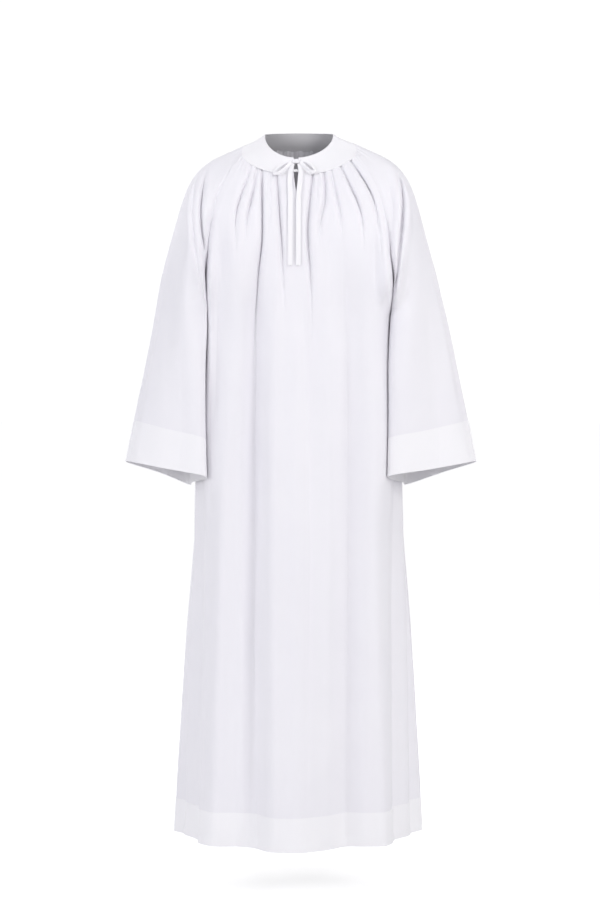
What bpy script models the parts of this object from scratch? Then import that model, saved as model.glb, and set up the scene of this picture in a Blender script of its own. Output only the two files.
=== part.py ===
"""A priest's alb: a white floor-length robe, gathered to a round neck yoke, with wide raglan sleeves.

The robe keeps the hollow form in which it is worn. The whole outer skin is laid out as one welded
mesh, row by row down the body and down each sleeve. It is then parted along its seams into the
pieces that a maker sews together, and each piece gets the thickness of its cloth, inwards.

Metres, +Z up, the wearer facing -Y, the wearer's left at +X. The origin is the middle of the neck,
at the height of the top of the yoke.
"""

import math

import bmesh
import bpy
import numpy as np
from mathutils import Vector
from mathutils.bvhtree import BVHTree

# ---------------------------------------------------------------------------------------------
# Driving dimensions
# ---------------------------------------------------------------------------------------------

CLOTH = 0.0014              # a single layer of the white cloth, with its soft air
DOUBLE_CLOTH = 0.0024       # turned-up hems, cuffs and the yoke
SEAM_GAP = 0.0003           # left between two pieces at their seam

ALB_LENGTH = 1.480          # from the top of the yoke to the hem
HEM_BAND = 0.070            # depth of the turned-up bottom hem
CHEST_DROP = 0.400          # from the top of the yoke down to the level of the underarm
KNEE_DROP = 1.100           # from the top of the yoke down to the level of the knee
SLEEVE_DROP = 0.370         # from the underarm to the wrist, along the sleeve
CUFF_BAND = 0.082           # depth of the turned-up sleeve hem

HALF_COLUMNS = 24           # columns of faces from a centre line to a side: two to a gather
SLEEVE_COLUMNS = 24         # columns of faces round a sleeve
BODY_ROWS = 10              # rows of faces from the underarm to the hem band
SLEEVE_ROWS = 8             # rows of faces from the underarm to the cuff
BAND_ROWS = 2               # rows of faces down a hem band or a cuff

SLIT_X = -0.006             # the slit lies a little to the wearer's right
SLIT_HALF_WIDTHS = (0.0048, 0.0030)         # at the yoke seam and at the row below it
SLIT_EASING_COLUMNS = 8     # columns each side over which the slit's opening is taken up

# Shares of the way from the yoke seam to the underarm at which the upper rows lie.
UPPER_ROWS = (0.0, 0.05, 0.12, 0.20, 0.30, 0.42, 0.54, 0.66, 0.77, 0.88, 1.0)

# Centre lines of front and back, from the yoke seam to the underarm level.
#                share    y       z
CENTRE_FRONT = ((0.00, -0.105, -0.103),
                (0.12, -0.127, -0.137),
                (0.30, -0.145, -0.192),
                (0.56, -0.157, -0.269),
                (1.00, -0.168, -CHEST_DROP))
CENTRE_BACK = ((0.00, 0.095, -0.036),
               (0.12, 0.108, -0.075),
               (0.30, 0.122, -0.140),
               (0.56, 0.130, -0.240),
               (1.00, 0.128, -CHEST_DROP))

# The raglan seams of the wearer's left side. "into" is the heading, in degrees from +X towards
# the middle of the sleeve's depth, at which the body's cloth reaches the seam, and "out" the one at
# which the sleeve's cloth leaves it. Where they differ the seam lies in a cleft.
#                share    x       y       z     into  out
SEAM_FRONT = ((0.00, 0.118, -0.055, -0.053,  80,  80),
              (0.10, 0.131, -0.075, -0.070,  62,  62),
              (0.22, 0.144, -0.092, -0.092,  52,  48),
              (0.38, 0.163, -0.108, -0.134,  52,  22),
              (0.54, 0.177, -0.113, -0.180,  62, -20),
              (0.70, 0.186, -0.103, -0.235,  74, -52),
              (0.85, 0.190, -0.066, -0.310,  84, -72),
              (1.00, 0.189,  0.000, -0.385,  90, -84))
SEAM_BACK = ((0.00, 0.116,  0.050, -0.040,  80,  80),
             (0.10, 0.130,  0.068, -0.058,  62,  62),
             (0.22, 0.144,  0.082, -0.084,  52,  48),
             (0.38, 0.163,  0.095, -0.130,  52,  22),
             (0.54, 0.177,  0.099, -0.180,  62, -20),
             (0.70, 0.186,  0.088, -0.235,  74, -52),
             (0.85, 0.190,  0.056, -0.310,  84, -72),
             (1.00, 0.189,  0.000, -0.385,  90, -84))

# The top line of the shoulder and sleeve.
#           share    x       y      z
RIDGE = ((0.00, 0.113,  0.002, -0.0275),
         (0.10, 0.150,  0.002, -0.0440),
         (0.22, 0.186,  0.002, -0.0600),
         (0.38, 0.220,  0.001, -0.0890),
         (0.54, 0.241,  0.000, -0.1330),
         (0.70, 0.254,  0.000, -0.1780),
         (0.85, 0.269,  0.000, -0.2350),
         (1.00, 0.288, -0.002, -0.3050))

# The wearer's right shoulder is lower: fully beyond the second X and above the first depth, and
# less and less so towards the first X and the second depth.
RIGHT_SHOULDER_DROP = 0.005
SHOULDER_DROP_X = (0.050, 0.130)
SHOULDER_DROP_DEPTH = (0.030, 0.330)

# How far the cloth rounds out between a row's two ends, as parts of the straight way between them:
# on the body at its centre line and at the raglan seam, on the sleeve at the seam and on the top.
BODY_ROUNDING = (1.15, 0.95)
SLEEVE_ROUNDING = (1.45, 1.55)

# Neck edge of the yoke: two half ellipses that meet at the sides of the neck.
NECK_HALF_WIDTH = 0.0715
NECK_SIDE_Y, NECK_SIDE_Z = 0.006, -0.0075
NECK_FRONT_REACH, NECK_FRONT_DROP = 0.0805, 0.0560
NECK_BACK_REACH, NECK_BACK_RISE = 0.0630, 0.0075
NECK_CORNER_TURNS = {"front": 26, "back": 30}       # degrees from the side to the raglan seams
YOKE_HOLLOW = 0.0022        # how far the yoke curves in between its two edges

# Lines of the body from the underarm level down, each the crest or the trough of a fold, with its
# place at the underarm level, at the knee and at the hem. "share" is the part of the way from the
# centre line to the side, and a minus sign puts the line on the wearer's right.
#                name           share   chest x   y        knee x    y         hem x    y
FRONT_LINES = (("side right",   -1.00, -0.1870,  0.005, -0.2440,  0.028, -0.2670,  0.036),
               ("trough A",     -0.87, -0.1790, -0.084, -0.2075, -0.064, -0.2195, -0.052),
               ("crest A",      -0.76, -0.1610, -0.125, -0.1880, -0.125, -0.2030, -0.136),
               ("flat right",   -0.64, -0.1300, -0.143, -0.1500, -0.143, -0.1580, -0.154),
               ("trough B",     -0.50, -0.0970, -0.145, -0.1070, -0.145, -0.1130, -0.154),
               ("crest B",      -0.34, -0.0660, -0.167, -0.0680, -0.198, -0.0690, -0.217),
               ("centre",        0.00, -0.0050, -0.168, -0.0020, -0.208,  0.0000, -0.231),
               ("easing C",      0.28,  0.0560, -0.162,  0.0610, -0.179,  0.0630, -0.187),
               ("trough C",      0.46,  0.0980, -0.150,  0.1040, -0.151,  0.1080, -0.155),
               ("crest D",       0.70,  0.1480, -0.139,  0.1660, -0.146,  0.1800, -0.151),
               ("trough D",      0.82,  0.1690, -0.110,  0.1880, -0.090,  0.2000, -0.080),
               ("crest E",       0.91,  0.1800, -0.066,  0.2125, -0.042,  0.2260, -0.028),
               ("side left",     1.00,  0.1870,  0.005,  0.2450,  0.033,  0.2620,  0.048))
BACK_LINES = (("side right",    -1.00, -0.1870,  0.005, -0.2440,  0.028, -0.2670,  0.036),
              ("crest F",       -0.87, -0.1760,  0.072, -0.2290,  0.096, -0.2520,  0.114),
              ("trough F",      -0.72, -0.1500,  0.098, -0.1840,  0.120, -0.2030,  0.142),
              ("crest G",       -0.52, -0.1080,  0.122, -0.1330,  0.163, -0.1430,  0.196),
              ("trough G",      -0.36, -0.0760,  0.115, -0.0900,  0.146, -0.0960,  0.170),
              ("crest H",       -0.15, -0.0300,  0.130, -0.0365,  0.173, -0.0400,  0.206),
              ("trough H",       0.10,  0.0200,  0.121,  0.0235,  0.155,  0.0260,  0.182),
              ("crest I",        0.32,  0.0640,  0.128,  0.0770,  0.170,  0.0840,  0.202),
              ("trough I",       0.52,  0.1060,  0.113,  0.1255,  0.138,  0.1370,  0.160),
              ("crest J",        0.72,  0.1480,  0.108,  0.1810,  0.145,  0.1960,  0.172),
              ("trough J",       0.88,  0.1770,  0.068,  0.2230,  0.089,  0.2390,  0.106),
              ("side left",      1.00,  0.1870,  0.005,  0.2450,  0.033,  0.2620,  0.048))

# Lines of the wearer's left sleeve from the underarm down. "share" runs once round the sleeve,
# from the underarm seam by the front.
#                  share    underarm x  y       z       elbow x    y       z       wrist x    y       z
SLEEVE_LINES = (("seam",        0.00, 0.189,  0.000, -0.385, 0.2120, -0.012, -0.560, 0.2240, -0.020, -0.738),
                ("inner front", 0.15, 0.197, -0.096, -0.372, 0.1945, -0.103, -0.545, 0.1900, -0.096, -0.722),
                ("front",       0.31, 0.243, -0.117, -0.345, 0.2500, -0.112, -0.526, 0.2720, -0.101, -0.707),
                ("ridge",       0.50, 0.290, -0.002, -0.305, 0.3320, -0.010, -0.500, 0.3725, -0.018, -0.692),
                ("back",        0.69, 0.247,  0.088, -0.345, 0.2680,  0.072, -0.530, 0.2960,  0.042, -0.720),
                ("inner back",  0.85, 0.205,  0.079, -0.372, 0.2190,  0.072, -0.556, 0.2310,  0.056, -0.745),
                ("seam",        1.00, 0.189,  0.000, -0.385, 0.2120, -0.012, -0.560, 0.2240, -0.020, -0.738))
ELBOW_SHARE = 0.50          # where the elbow's ring lies between the underarm and the wrist
SLEEVE_SHIFTS = (-0.005, 0.004)     # how far both sleeves' inner and outer edges lie to the left
SLEEVE_EDGES_X = (0.190, 0.310)     # inside the first X the inner shift holds, and past the second the outer

# Gathers below the yoke, counted outwards from the centre line, those of the wearer's right and
# left: how deep each trough is, in mm, and how far it reaches down from the yoke, in mm.
FRONT_GATHERS = {"right": ((1.8,  80), (2.2, 100), (3.4, 260), (1.8,  80), (2.4, 110), (2.4,  90),
                           (6.0, 420), (2.0,  90), (3.6, 150), (2.2,  90), (4.0, 220), (3.6, 230)),
                 "left":  ((1.8,  80), (2.4, 100), (4.0, 240), (1.8,  90), (3.4, 160), (2.0,  80),
                           (3.2, 150), (2.0,  90), (4.6, 210), (2.4, 100), (5.0, 210), (3.0, 130))}
BACK_GATHERS = {"right": ((2.4, 110), (1.8,  80), (3.8, 220), (2.2,  90), (2.8, 130), (1.8,  70),
                          (4.2, 260), (2.0,  80), (2.8, 120), (2.0,  80), (3.8, 180), (2.4,  90)),
                "left":  ((2.0,  80), (3.6, 200), (2.0,  90), (2.8, 120), (1.8,  80), (4.4, 270),
                          (2.2,  90), (2.8, 120), (1.8,  80), (3.6, 180), (2.4, 100), (3.0, 130))}
GATHER_START = 0.018        # a gather reaches its full depth this far below the yoke
GATHER_CREST = 0.7          # height of the crests between the troughs, as a part of their depth
FOLD_ONSET = 6              # the higher, the nearer to the underarm the body's folds begin
FOLD_HOLD = 0.7             # share of a half row from which the body's folds die out to the seam

# Troughs of the sleeves' fronts and backs: the share of the way round the sleeve at the yoke seam,
# at mid shoulder and at the underarm, their width in shares, depth, and reach below the underarm.
#                                yoke  shoulder underarm width   depth  reach
SLEEVE_TROUGHS = (("front crease", 0.40,   0.36,    0.22, 0.040, 0.0080, 0.10),
                  ("front ease",   0.16,   0.15,    0.10, 0.030, 0.0035, 0.03),
                  ("back crease",  0.64,   0.68,    0.80, 0.042, 0.0080, 0.10),
                  ("back ease",    0.83,   0.84,    0.90, 0.030, 0.0035, 0.03))

# The tie: a flat tube of the same cloth, tied in a bow over the top of the slit. Routes are given as
# X and Z, and lie in front of the cloth behind them.
TIE_WIDTH = 0.0105
TIE_THICKNESS = 0.0020
TIE_SIDES = 8               # points round a section of the tie
KNOT_SIZE = (0.0160, 0.0065, 0.0095)
KNOT_BEVEL = 0.0022
KNOT_X, KNOT_Z = -0.0067, -0.0720
BAR_SIZE = (0.0165, 0.0020, 0.0054)         # the sewn bar over the slit, at the yoke's lower edge
BAR_Z = -0.0925
BAR_LAP = 0.0020            # how far the bar lies on the cloth each side of the slit
TIE_END_DROP = 0.213        # from under the knot to the free ends
TIE_END_ROWS = 14
#                       x at the knot, just below, and at the free end
TIE_ENDS = {"right": (-0.0112, -0.0172, -0.0186),
            "left":  (-0.0022, -0.0012, -0.0016)}
TIE_END_LIFT = 0.0025       # from the cloth's foremost points to the middle of the tie
TIE_AT_KNOT = 0.74          # share of its width to which the knot gathers the tie
TIE_SPREAD = 0.12           # share of the end's length over which it widens again
LOOP_WIDTH = 0.0075         # the tie is pulled narrower in the bow
LOOP_ROWS = 20
LOOP_GAP = 0.0010           # between the knot's side and a loop
TIE_SQUARENESS = 0.6        # 1 gives the tie an oval section and 0 a rectangular one
LOOP_TILT = 0.55            # how far a loop's cloth turns up out of the plane of the bow
#                 x of the middle line out from the knot, z below the knot, lift off the cloth
LOOP_ROUTES = {"right": ((0.0000, 0.0010, 0.0046), (0.0110, -0.0010, 0.0066), (0.0240, -0.0095, 0.0060),
                         (0.0345, -0.0205, 0.0050), (0.0360, -0.0265, 0.0066), (0.0290, -0.0275, 0.0092),
                         (0.0180, -0.0215, 0.0112), (0.0080, -0.0105, 0.0112), (0.0000, -0.0030, 0.0090)),
               "left":  ((0.0000, 0.0010, 0.0046), (0.0095, 0.0015, 0.0064), (0.0200, -0.0050, 0.0058),
                         (0.0290, -0.0160, 0.0050), (0.0305, -0.0225, 0.0066), (0.0245, -0.0240, 0.0092),
                         (0.0150, -0.0175, 0.0112), (0.0070, -0.0090, 0.0110), (0.0000, -0.0028, 0.0090))}

WHITE = (0.86, 0.86, 0.88, 1.0)
WHITE_DOUBLE = (0.91, 0.91, 0.92, 1.0)
ROUGHNESS = 0.85

PIECES = (("front_panel", CLOTH, WHITE),
          ("back_panel", CLOTH, WHITE),
          ("sleeve_left", CLOTH, WHITE),
          ("sleeve_right", CLOTH, WHITE),
          ("neck_yoke", DOUBLE_CLOTH, WHITE_DOUBLE),
          ("cuff_left", DOUBLE_CLOTH, WHITE_DOUBLE),
          ("cuff_right", DOUBLE_CLOTH, WHITE_DOUBLE),
          ("hem_front", DOUBLE_CLOTH, WHITE_DOUBLE),
          ("hem_back", DOUBLE_CLOTH, WHITE_DOUBLE))
TAG = {name: number for number, (name, _, _) in enumerate(PIECES)}


# ---------------------------------------------------------------------------------------------
# Curves
# ---------------------------------------------------------------------------------------------

def smooth_table(keys, values, wanted, rounded=False):
    """Values at the wanted keys, on a smooth curve through the table.

    The curve never overshoots the table's values, unless it is to be rounded at its turns.
    """
    keys = np.asarray(keys, float)
    values = np.asarray(values, float)
    wanted = np.atleast_1d(np.asarray(wanted, float))
    step = np.diff(keys)[:, None]
    slope = np.diff(values, axis=0) / step
    tangent = np.empty_like(values)
    tangent[0] = slope[0]
    tangent[-1] = slope[-1]
    before, after = slope[:-1], slope[1:]
    same_way = before * after > 0
    safe_before = np.where(same_way, before, 1.0)
    safe_after = np.where(same_way, after, 1.0)
    weight_before = 2 * step[1:] + step[:-1]
    weight_after = step[1:] + 2 * step[:-1]
    mean = (weight_before + weight_after) / (weight_before / safe_before + weight_after / safe_after)
    tangent[1:-1] = np.where(same_way, mean, 0.0)
    if rounded:
        tangent[1:-1] = (before * step[1:] + after * step[:-1]) / (step[1:] + step[:-1])
    cell = np.clip(np.searchsorted(keys, wanted, side="right") - 1, 0, len(keys) - 2)
    width = step[cell]
    t = ((wanted - keys[cell]) / step[cell, 0])[:, None]
    return ((2 * t**3 - 3 * t**2 + 1) * values[cell] + (t**3 - 2 * t**2 + t) * width * tangent[cell]
            + (3 * t**2 - 2 * t**3) * values[cell + 1] + (t**3 - t**2) * width * tangent[cell + 1])


def row_of(table, share):
    """A table's row of values at a share, the table's first column being the share."""
    table = np.asarray(table, float)
    return smooth_table(table[:, 0], table[:, 1:], share)[0]


def ease(value):
    """0 below 0, 1 above 1, and a soft S between."""
    value = np.clip(value, 0.0, 1.0)
    return value * value * (3 - 2 * value)


def arc(start, start_tangent, end, end_tangent, columns):
    """Points spread evenly along a Hermite arc, columns + 1 of them."""
    t = np.linspace(0, 1, 161)[:, None]
    fine = ((2 * t**3 - 3 * t**2 + 1) * start + (t**3 - 2 * t**2 + t) * start_tangent
            + (3 * t**2 - 2 * t**3) * end + (t**3 - t**2) * end_tangent)
    length = np.concatenate(([0.0], np.cumsum(np.linalg.norm(np.diff(fine, axis=0), axis=1))))
    wanted = np.linspace(0, length[-1], columns + 1)
    return np.column_stack([np.interp(wanted, length, fine[:, axis]) for axis in range(3)])


# ---------------------------------------------------------------------------------------------
# Rows of points
# ---------------------------------------------------------------------------------------------

LEFT_TO_RIGHT = np.array((-1.0, 1.0, 1.0))


def seam_point(share, face):
    """A raglan seam's point on the wearer's left, and the headings into and out of it."""
    x, y, z, into, out = row_of(SEAM_FRONT if face == "front" else SEAM_BACK, share)
    rise = 0.5 * (row_of(RIDGE, share)[2] - centre_point(share, face)[2]) * (1 - share)
    way = 1.0 if face == "front" else -1.0
    headings = [np.array((math.cos(math.radians(turn)), way * math.sin(math.radians(turn)), 0.0))
                for turn in (into, out)]
    return np.array((x, y, z)), headings[0], headings[1], rise


def centre_point(share, face):
    """A point of the front or back centre line above the underarm."""
    y, z = row_of(CENTRE_FRONT if face == "front" else CENTRE_BACK, share)
    return np.array((SLIT_X if face == "front" else 0.0, y, z))


def plain_half_row(share, face, side):
    """The smooth row from a centre line out to the raglan seam, before folds and gathers."""
    start = centre_point(share, face)
    seam, into, _, rise = seam_point(share, face)
    if side == "right":
        seam, into = seam * LEFT_TO_RIGHT, into * LEFT_TO_RIGHT
    span = np.linalg.norm(seam - start)
    out_of_centre = np.array((1.0 if side == "left" else -1.0, 0.0, 0.0)) * span * BODY_ROUNDING[0]
    to_seam = into * span * BODY_ROUNDING[1] + np.array((0.0, 0.0, rise * 2))
    return arc(start, out_of_centre, seam, to_seam, HALF_COLUMNS)


def plain_sleeve_row(share):
    """The smooth row of the left sleeve from its front seam, over the top line, to its back seam."""
    top = row_of(RIDGE, share)
    rows = []
    for face in ("front", "back"):
        seam, _, out, rise = seam_point(share, face)
        span = np.linalg.norm(top - seam)
        away = out * span * SLEEVE_ROUNDING[0] + np.array((0.0, 0.0, rise * (1 - share)))
        over = np.array((0.0, 1.0 if face == "front" else -1.0, 0.0)) * span * SLEEVE_ROUNDING[1]
        rows.append(arc(seam, away, top, over, SLEEVE_COLUMNS // 2))
    return np.concatenate((rows[0], rows[1][-2::-1]))


def past_side(line):
    """A line of the other half of the body, carried round past the side that it lies next to."""
    return (line[0], math.copysign(2, line[1]) - line[1]) + line[2:]


def body_section(drop, face):
    """The body's front or back at a drop below the neck, from the right side to the left side."""
    lines, behind = (FRONT_LINES, BACK_LINES) if face == "front" else (BACK_LINES, FRONT_LINES)
    lines = (past_side(behind[1]),) + lines + (past_side(behind[-2]),)
    shares = np.array([line[1] for line in lines])
    places = np.array([line[2:] for line in lines]).reshape(len(lines), 3, 2)
    drops = (CHEST_DROP, KNEE_DROP, ALB_LENGTH)
    here = smooth_table(drops, places.transpose(1, 0, 2).reshape(3, -1), drop).reshape(-1, 2)
    wanted = np.linspace(-1, 1, 2 * HALF_COLUMNS + 1)
    return np.column_stack((smooth_table(shares, here, wanted), np.full(len(wanted), -drop)))


def half_section(drop, face, side):
    """Half of a body section, from its centre line out to its side."""
    section = body_section(drop, face)
    middle = HALF_COLUMNS
    return section[middle:] if side == "left" else section[middle::-1]


def half_row(share, face, side):
    """A row above the underarm, from the centre line out to the seam, with the body's folds."""
    plain = plain_half_row(share, face, side)
    folds = half_section(CHEST_DROP, face, side) - plain_half_row(1.0, face, side)
    return plain + folds * share**FOLD_ONSET * seam_hold()[:, None]**(1 - share)


def open_slit(row, half_width, side):
    """Moves the inner end of a front half row off the centre line, to the edge of the slit."""
    share = 1 - ease(np.arange(len(row)) / SLIT_EASING_COLUMNS)
    row[:, 0] += share * half_width * (1 if side == "left" else -1)


def seam_hold():
    """1 over most of a half row and 0 at the raglan seam, which the folds don't move."""
    return 1 - ease((np.linspace(0, 1, HALF_COLUMNS + 1) - FOLD_HOLD) / (1 - FOLD_HOLD))


def sleeve_section(down, side):
    """A closed ring of the left sleeve, from 0 at the underarm to 1 at the wrist."""
    shares = np.array([line[1] for line in SLEEVE_LINES])
    places = np.array([line[2:] for line in SLEEVE_LINES]).reshape(len(SLEEVE_LINES), 3, 3)
    keys = (0.0, ELBOW_SHARE, 1.0)
    here = smooth_table(keys, places.transpose(1, 0, 2).reshape(3, -1), down).reshape(-1, 3)
    wanted = np.linspace(0, 1, SLEEVE_COLUMNS + 1)
    ring = smooth_table(shares, here, wanted, rounded=True)
    (inner_shift, outer_shift), (inner_x, outer_x) = SLEEVE_SHIFTS, SLEEVE_EDGES_X
    outer = ease((ring[:, 0] - inner_x) / (outer_x - inner_x))
    shift = inner_shift + (outer_shift - inner_shift) * outer
    ring[:, 0] += shift * (1 if side == "left" else -1) * ease(down * 3)
    return ring


def sleeve_row(share):
    """A row of the left sleeve above the underarm, easing into its ring at the underarm."""
    plain = plain_sleeve_row(share)
    return plain + (sleeve_section(0.0, "left") - plain_sleeve_row(1.0)) * ease(share)**2


# ---------------------------------------------------------------------------------------------
# Gathers and troughs: how far each point is moved out along the skin's normal
# ---------------------------------------------------------------------------------------------

def gather_lift(rows, gathers):
    """Lift of each point of a half's rows: troughs on odd columns, crests on even ones."""
    lift = np.zeros((len(rows), HALF_COLUMNS + 1))
    depth = np.array([row[0] for row in gathers]) / 1000
    reach = np.array([row[1] for row in gathers]) / 1000
    for number, row in enumerate(rows):
        drop = np.linalg.norm(row - rows[0], axis=1)
        for column in range(1, HALF_COLUMNS):
            gather = column // 2
            if column % 2:
                size, far, way = depth[gather], reach[gather], -1.0
            else:
                size = GATHER_CREST * min(depth[gather - 1], depth[gather])
                far, way = max(reach[gather - 1], reach[gather]), 1.0
            grown = ease(drop[column] / GATHER_START)
            faded = 1 - ease((drop[column] - GATHER_START) / far)
            lift[number, column] = way * size * grown * faded
    return lift


def sleeve_lift(row_number, upper_rows, drop):
    """Lift of each point of a sleeve row: its soft creases."""
    places = np.linspace(0, 1, SLEEVE_COLUMNS + 1)
    share = UPPER_ROWS[row_number] if row_number < upper_rows else 1.0
    lift = np.zeros(SLEEVE_COLUMNS + 1)
    for _, at_yoke, at_shoulder, at_underarm, width, depth, reach in SLEEVE_TROUGHS:
        path = smooth_table((0.0, 0.5, 1.0), ((at_yoke,), (at_shoulder,), (at_underarm,)), share)[0, 0]
        strength = ease((share - 0.12) / 0.4) * (1 - ease(drop / reach))
        lift -= depth * strength * np.exp(-(((places - path) / width) ** 2))
    hold = ease(places / 0.04) * ease((1 - places) / 0.04)
    return lift * hold


# ---------------------------------------------------------------------------------------------
# The skin: one welded mesh of all the outer faces
# ---------------------------------------------------------------------------------------------

def add_patch(skin, rows, lifts, piece, outward_turn):
    """A grid of faces through rows of points, tagged with the piece that each row of faces is."""
    lift_layer = skin.verts.layers.float["lift"]
    grid = []
    for row, lift in zip(rows, lifts):
        line = []
        for point, height in zip(row, lift):
            vert = skin.verts.new(point)
            vert[lift_layer] = height
            line.append(vert)
        grid.append(line)
    for number, (upper, lower) in enumerate(zip(grid, grid[1:])):
        for column in range(len(upper) - 1):
            corners = (upper[column], upper[column + 1], lower[column + 1], lower[column])
            face = skin.faces.new(corners if outward_turn else corners[::-1])
            face.material_index = TAG[piece[number]]


def body_patches(skin):
    """The four quarters of the body, from the yoke seam to the hem."""
    band_top = ALB_LENGTH - HEM_BAND
    drops = list(np.linspace(CHEST_DROP, band_top, BODY_ROWS + 1)[1:])
    drops += list(np.linspace(band_top, ALB_LENGTH, BAND_ROWS + 1)[1:])
    for face in ("front", "back"):
        tags = [face + "_panel"] * (len(UPPER_ROWS) - 1 + BODY_ROWS) + ["hem_" + face] * BAND_ROWS
        gathers = FRONT_GATHERS if face == "front" else BACK_GATHERS
        for side in ("left", "right"):
            rows = [half_row(share, face, side) for share in UPPER_ROWS]
            rows += [half_section(drop, face, side) for drop in drops]
            lifts = gather_lift(rows, gathers[side])
            if face == "front":
                for row, half_width in zip(rows, SLIT_HALF_WIDTHS):
                    open_slit(row, half_width, side)
            add_patch(skin, rows, lifts, tags, (face == "front") == (side == "right"))


def sleeve_patches(skin):
    """The two sleeves, from the yoke seam to the wrist."""
    wrist_share = 1 - CUFF_BAND / SLEEVE_DROP
    downs = list(np.linspace(0, wrist_share, SLEEVE_ROWS + 1)[1:])
    downs += list(np.linspace(wrist_share, 1, BAND_ROWS + 1)[1:])
    for side in ("left", "right"):
        tags = ["sleeve_" + side] * (len(UPPER_ROWS) - 1 + SLEEVE_ROWS) + ["cuff_" + side] * BAND_ROWS
        rows = [sleeve_row(share) for share in UPPER_ROWS]
        rows += [sleeve_section(down, side) for down in downs]
        underarm = rows[len(UPPER_ROWS) - 1]
        lifts = []
        for number, row in enumerate(rows):
            drop = 0.0 if number < len(UPPER_ROWS) else float(np.mean(underarm[:, 2] - row[:, 2]))
            lifts.append(sleeve_lift(number, len(UPPER_ROWS), drop))
        if side == "right":
            rows = [row * LEFT_TO_RIGHT for row in rows]
        add_patch(skin, rows, lifts, tags, side == "right")


def neck_arc(start, end, columns, side):
    """Points of the neck edge between two turns in degrees, 90 at the front and -90 at the back."""
    turn = np.radians(np.linspace(start, end, columns + 1))
    front = np.sin(turn) > 0
    way = np.sin(turn) * np.where(front, 1.0, -1.0)
    x = NECK_HALF_WIDTH * np.cos(turn) * (1 if side == "left" else -1) + SLIT_X * np.where(front, way**2, 0)
    y = NECK_SIDE_Y + np.where(front, -NECK_FRONT_REACH, NECK_BACK_REACH) * way
    z = NECK_SIDE_Z + np.where(front, -NECK_FRONT_DROP, NECK_BACK_RISE) * way
    return np.column_stack((x, y, z))


def yoke_patches(skin):
    """The yoke, from its neck edge to the seams below it, in the same columns as they have."""
    front_turn, back_turn = NECK_CORNER_TURNS["front"], -NECK_CORNER_TURNS["back"]
    for side in ("left", "right"):
        sleeve_seam = sleeve_row(0.0)
        if side == "right":
            sleeve_seam = sleeve_seam * LEFT_TO_RIGHT
        strips = ((neck_arc(90, front_turn, HALF_COLUMNS, side), half_row(0.0, "front", side),
                   side == "right"),
                  (neck_arc(front_turn, back_turn, SLEEVE_COLUMNS, side), sleeve_seam, side == "right"),
                  (neck_arc(-90, back_turn, HALF_COLUMNS, side), half_row(0.0, "back", side),
                   side == "left"))
        for number, (edge, seam, turn) in enumerate(strips):
            if number == 0:
                open_slit(edge, SLIT_HALF_WIDTHS[0], side)
                open_slit(seam, SLIT_HALF_WIDTHS[0], side)
            middle = (edge + seam) / 2
            outwards = middle * np.array((1.0, 1.0, 0.0))
            outwards /= np.linalg.norm(outwards, axis=1)[:, None]
            middle -= (outwards + np.array((0.0, 0.0, 1.0))) * YOKE_HOLLOW
            add_patch(skin, (edge, middle, seam), np.zeros((3, len(edge))), ["neck_yoke"] * 2, turn)


def build_skin():
    """The welded outer skin, with its gathers, and each point's wall direction kept on it."""
    skin = bmesh.new()
    skin.verts.layers.float.new("lift")
    skin.verts.layers.float_vector.new("wall")
    body_patches(skin)
    sleeve_patches(skin)
    yoke_patches(skin)
    bmesh.ops.remove_doubles(skin, verts=skin.verts[:], dist=1e-5)
    near, far = SHOULDER_DROP_X
    top, bottom = SHOULDER_DROP_DEPTH
    for vert in skin.verts:
        outwards = ease((-vert.co.x - near) / (far - near))
        vert.co.z -= RIGHT_SHOULDER_DROP * outwards * (1 - ease((-vert.co.z - top) / (bottom - top)))
    skin.normal_update()
    lift_layer = skin.verts.layers.float["lift"]
    raised = [(vert, vert.co + vert.normal * vert[lift_layer]) for vert in skin.verts]
    for vert, place in raised:
        vert.co = place
    skin.normal_update()
    wall_layer = skin.verts.layers.float_vector["wall"]
    underarm = Vector(SEAM_FRONT[-1][1:4])
    for vert in skin.verts:
        at_underarm = (Vector((abs(vert.co.x), vert.co.y, vert.co.z)) - underarm).length < 1e-4
        vert[wall_layer] = Vector((0, 0, -1)) if at_underarm else vert.normal
    return skin


# ---------------------------------------------------------------------------------------------
# The sewn pieces
# ---------------------------------------------------------------------------------------------

def hold_back_edges(shell):
    """Moves each edge of a piece back along its own cloth by half the gap kept at a seam."""
    wall_layer = shell.verts.layers.float_vector["wall"]
    moves = {}
    for edge in shell.edges:
        if not edge.is_boundary:
            continue
        face = edge.link_faces[0]
        along = (edge.verts[1].co - edge.verts[0].co).normalized()
        inward = face.normal.cross(along).normalized()
        if inward.dot(face.calc_center_median() - edge.verts[0].co) < 0:
            inward = -inward
        for vert in edge.verts:
            moves.setdefault(vert, []).append(inward)
    for vert, ways in moves.items():
        total = sum(ways, Vector()).normalized()
        wall = vert[wall_layer]
        flat = (total - wall * total.dot(wall)).normalized()
        slant = max(0.5, min(flat.dot(way) for way in ways))
        vert.co += flat * (SEAM_GAP / 2) / slant


def thicken(shell, thickness):
    """Turns a shell into a closed wall, by a copy of it moved inwards along the wall directions."""
    wall_layer = shell.verts.layers.float_vector["wall"]
    grown = bmesh.ops.extrude_face_region(shell, geom=shell.faces[:], use_keep_orig=True)
    for item in grown["geom"]:
        if isinstance(item, bmesh.types.BMVert):
            item.co -= item[wall_layer] * thickness
    bmesh.ops.recalc_face_normals(shell, faces=shell.faces[:])


def cloth_material(name, colour):
    """A plain white cloth."""
    material = bpy.data.materials.new(name)
    material.use_nodes = True
    shader = material.node_tree.nodes["Principled BSDF"]
    shader.inputs["Base Color"].default_value = colour
    shader.inputs["Roughness"].default_value = ROUGHNESS
    shader.inputs["Metallic"].default_value = 0.0
    return material


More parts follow.
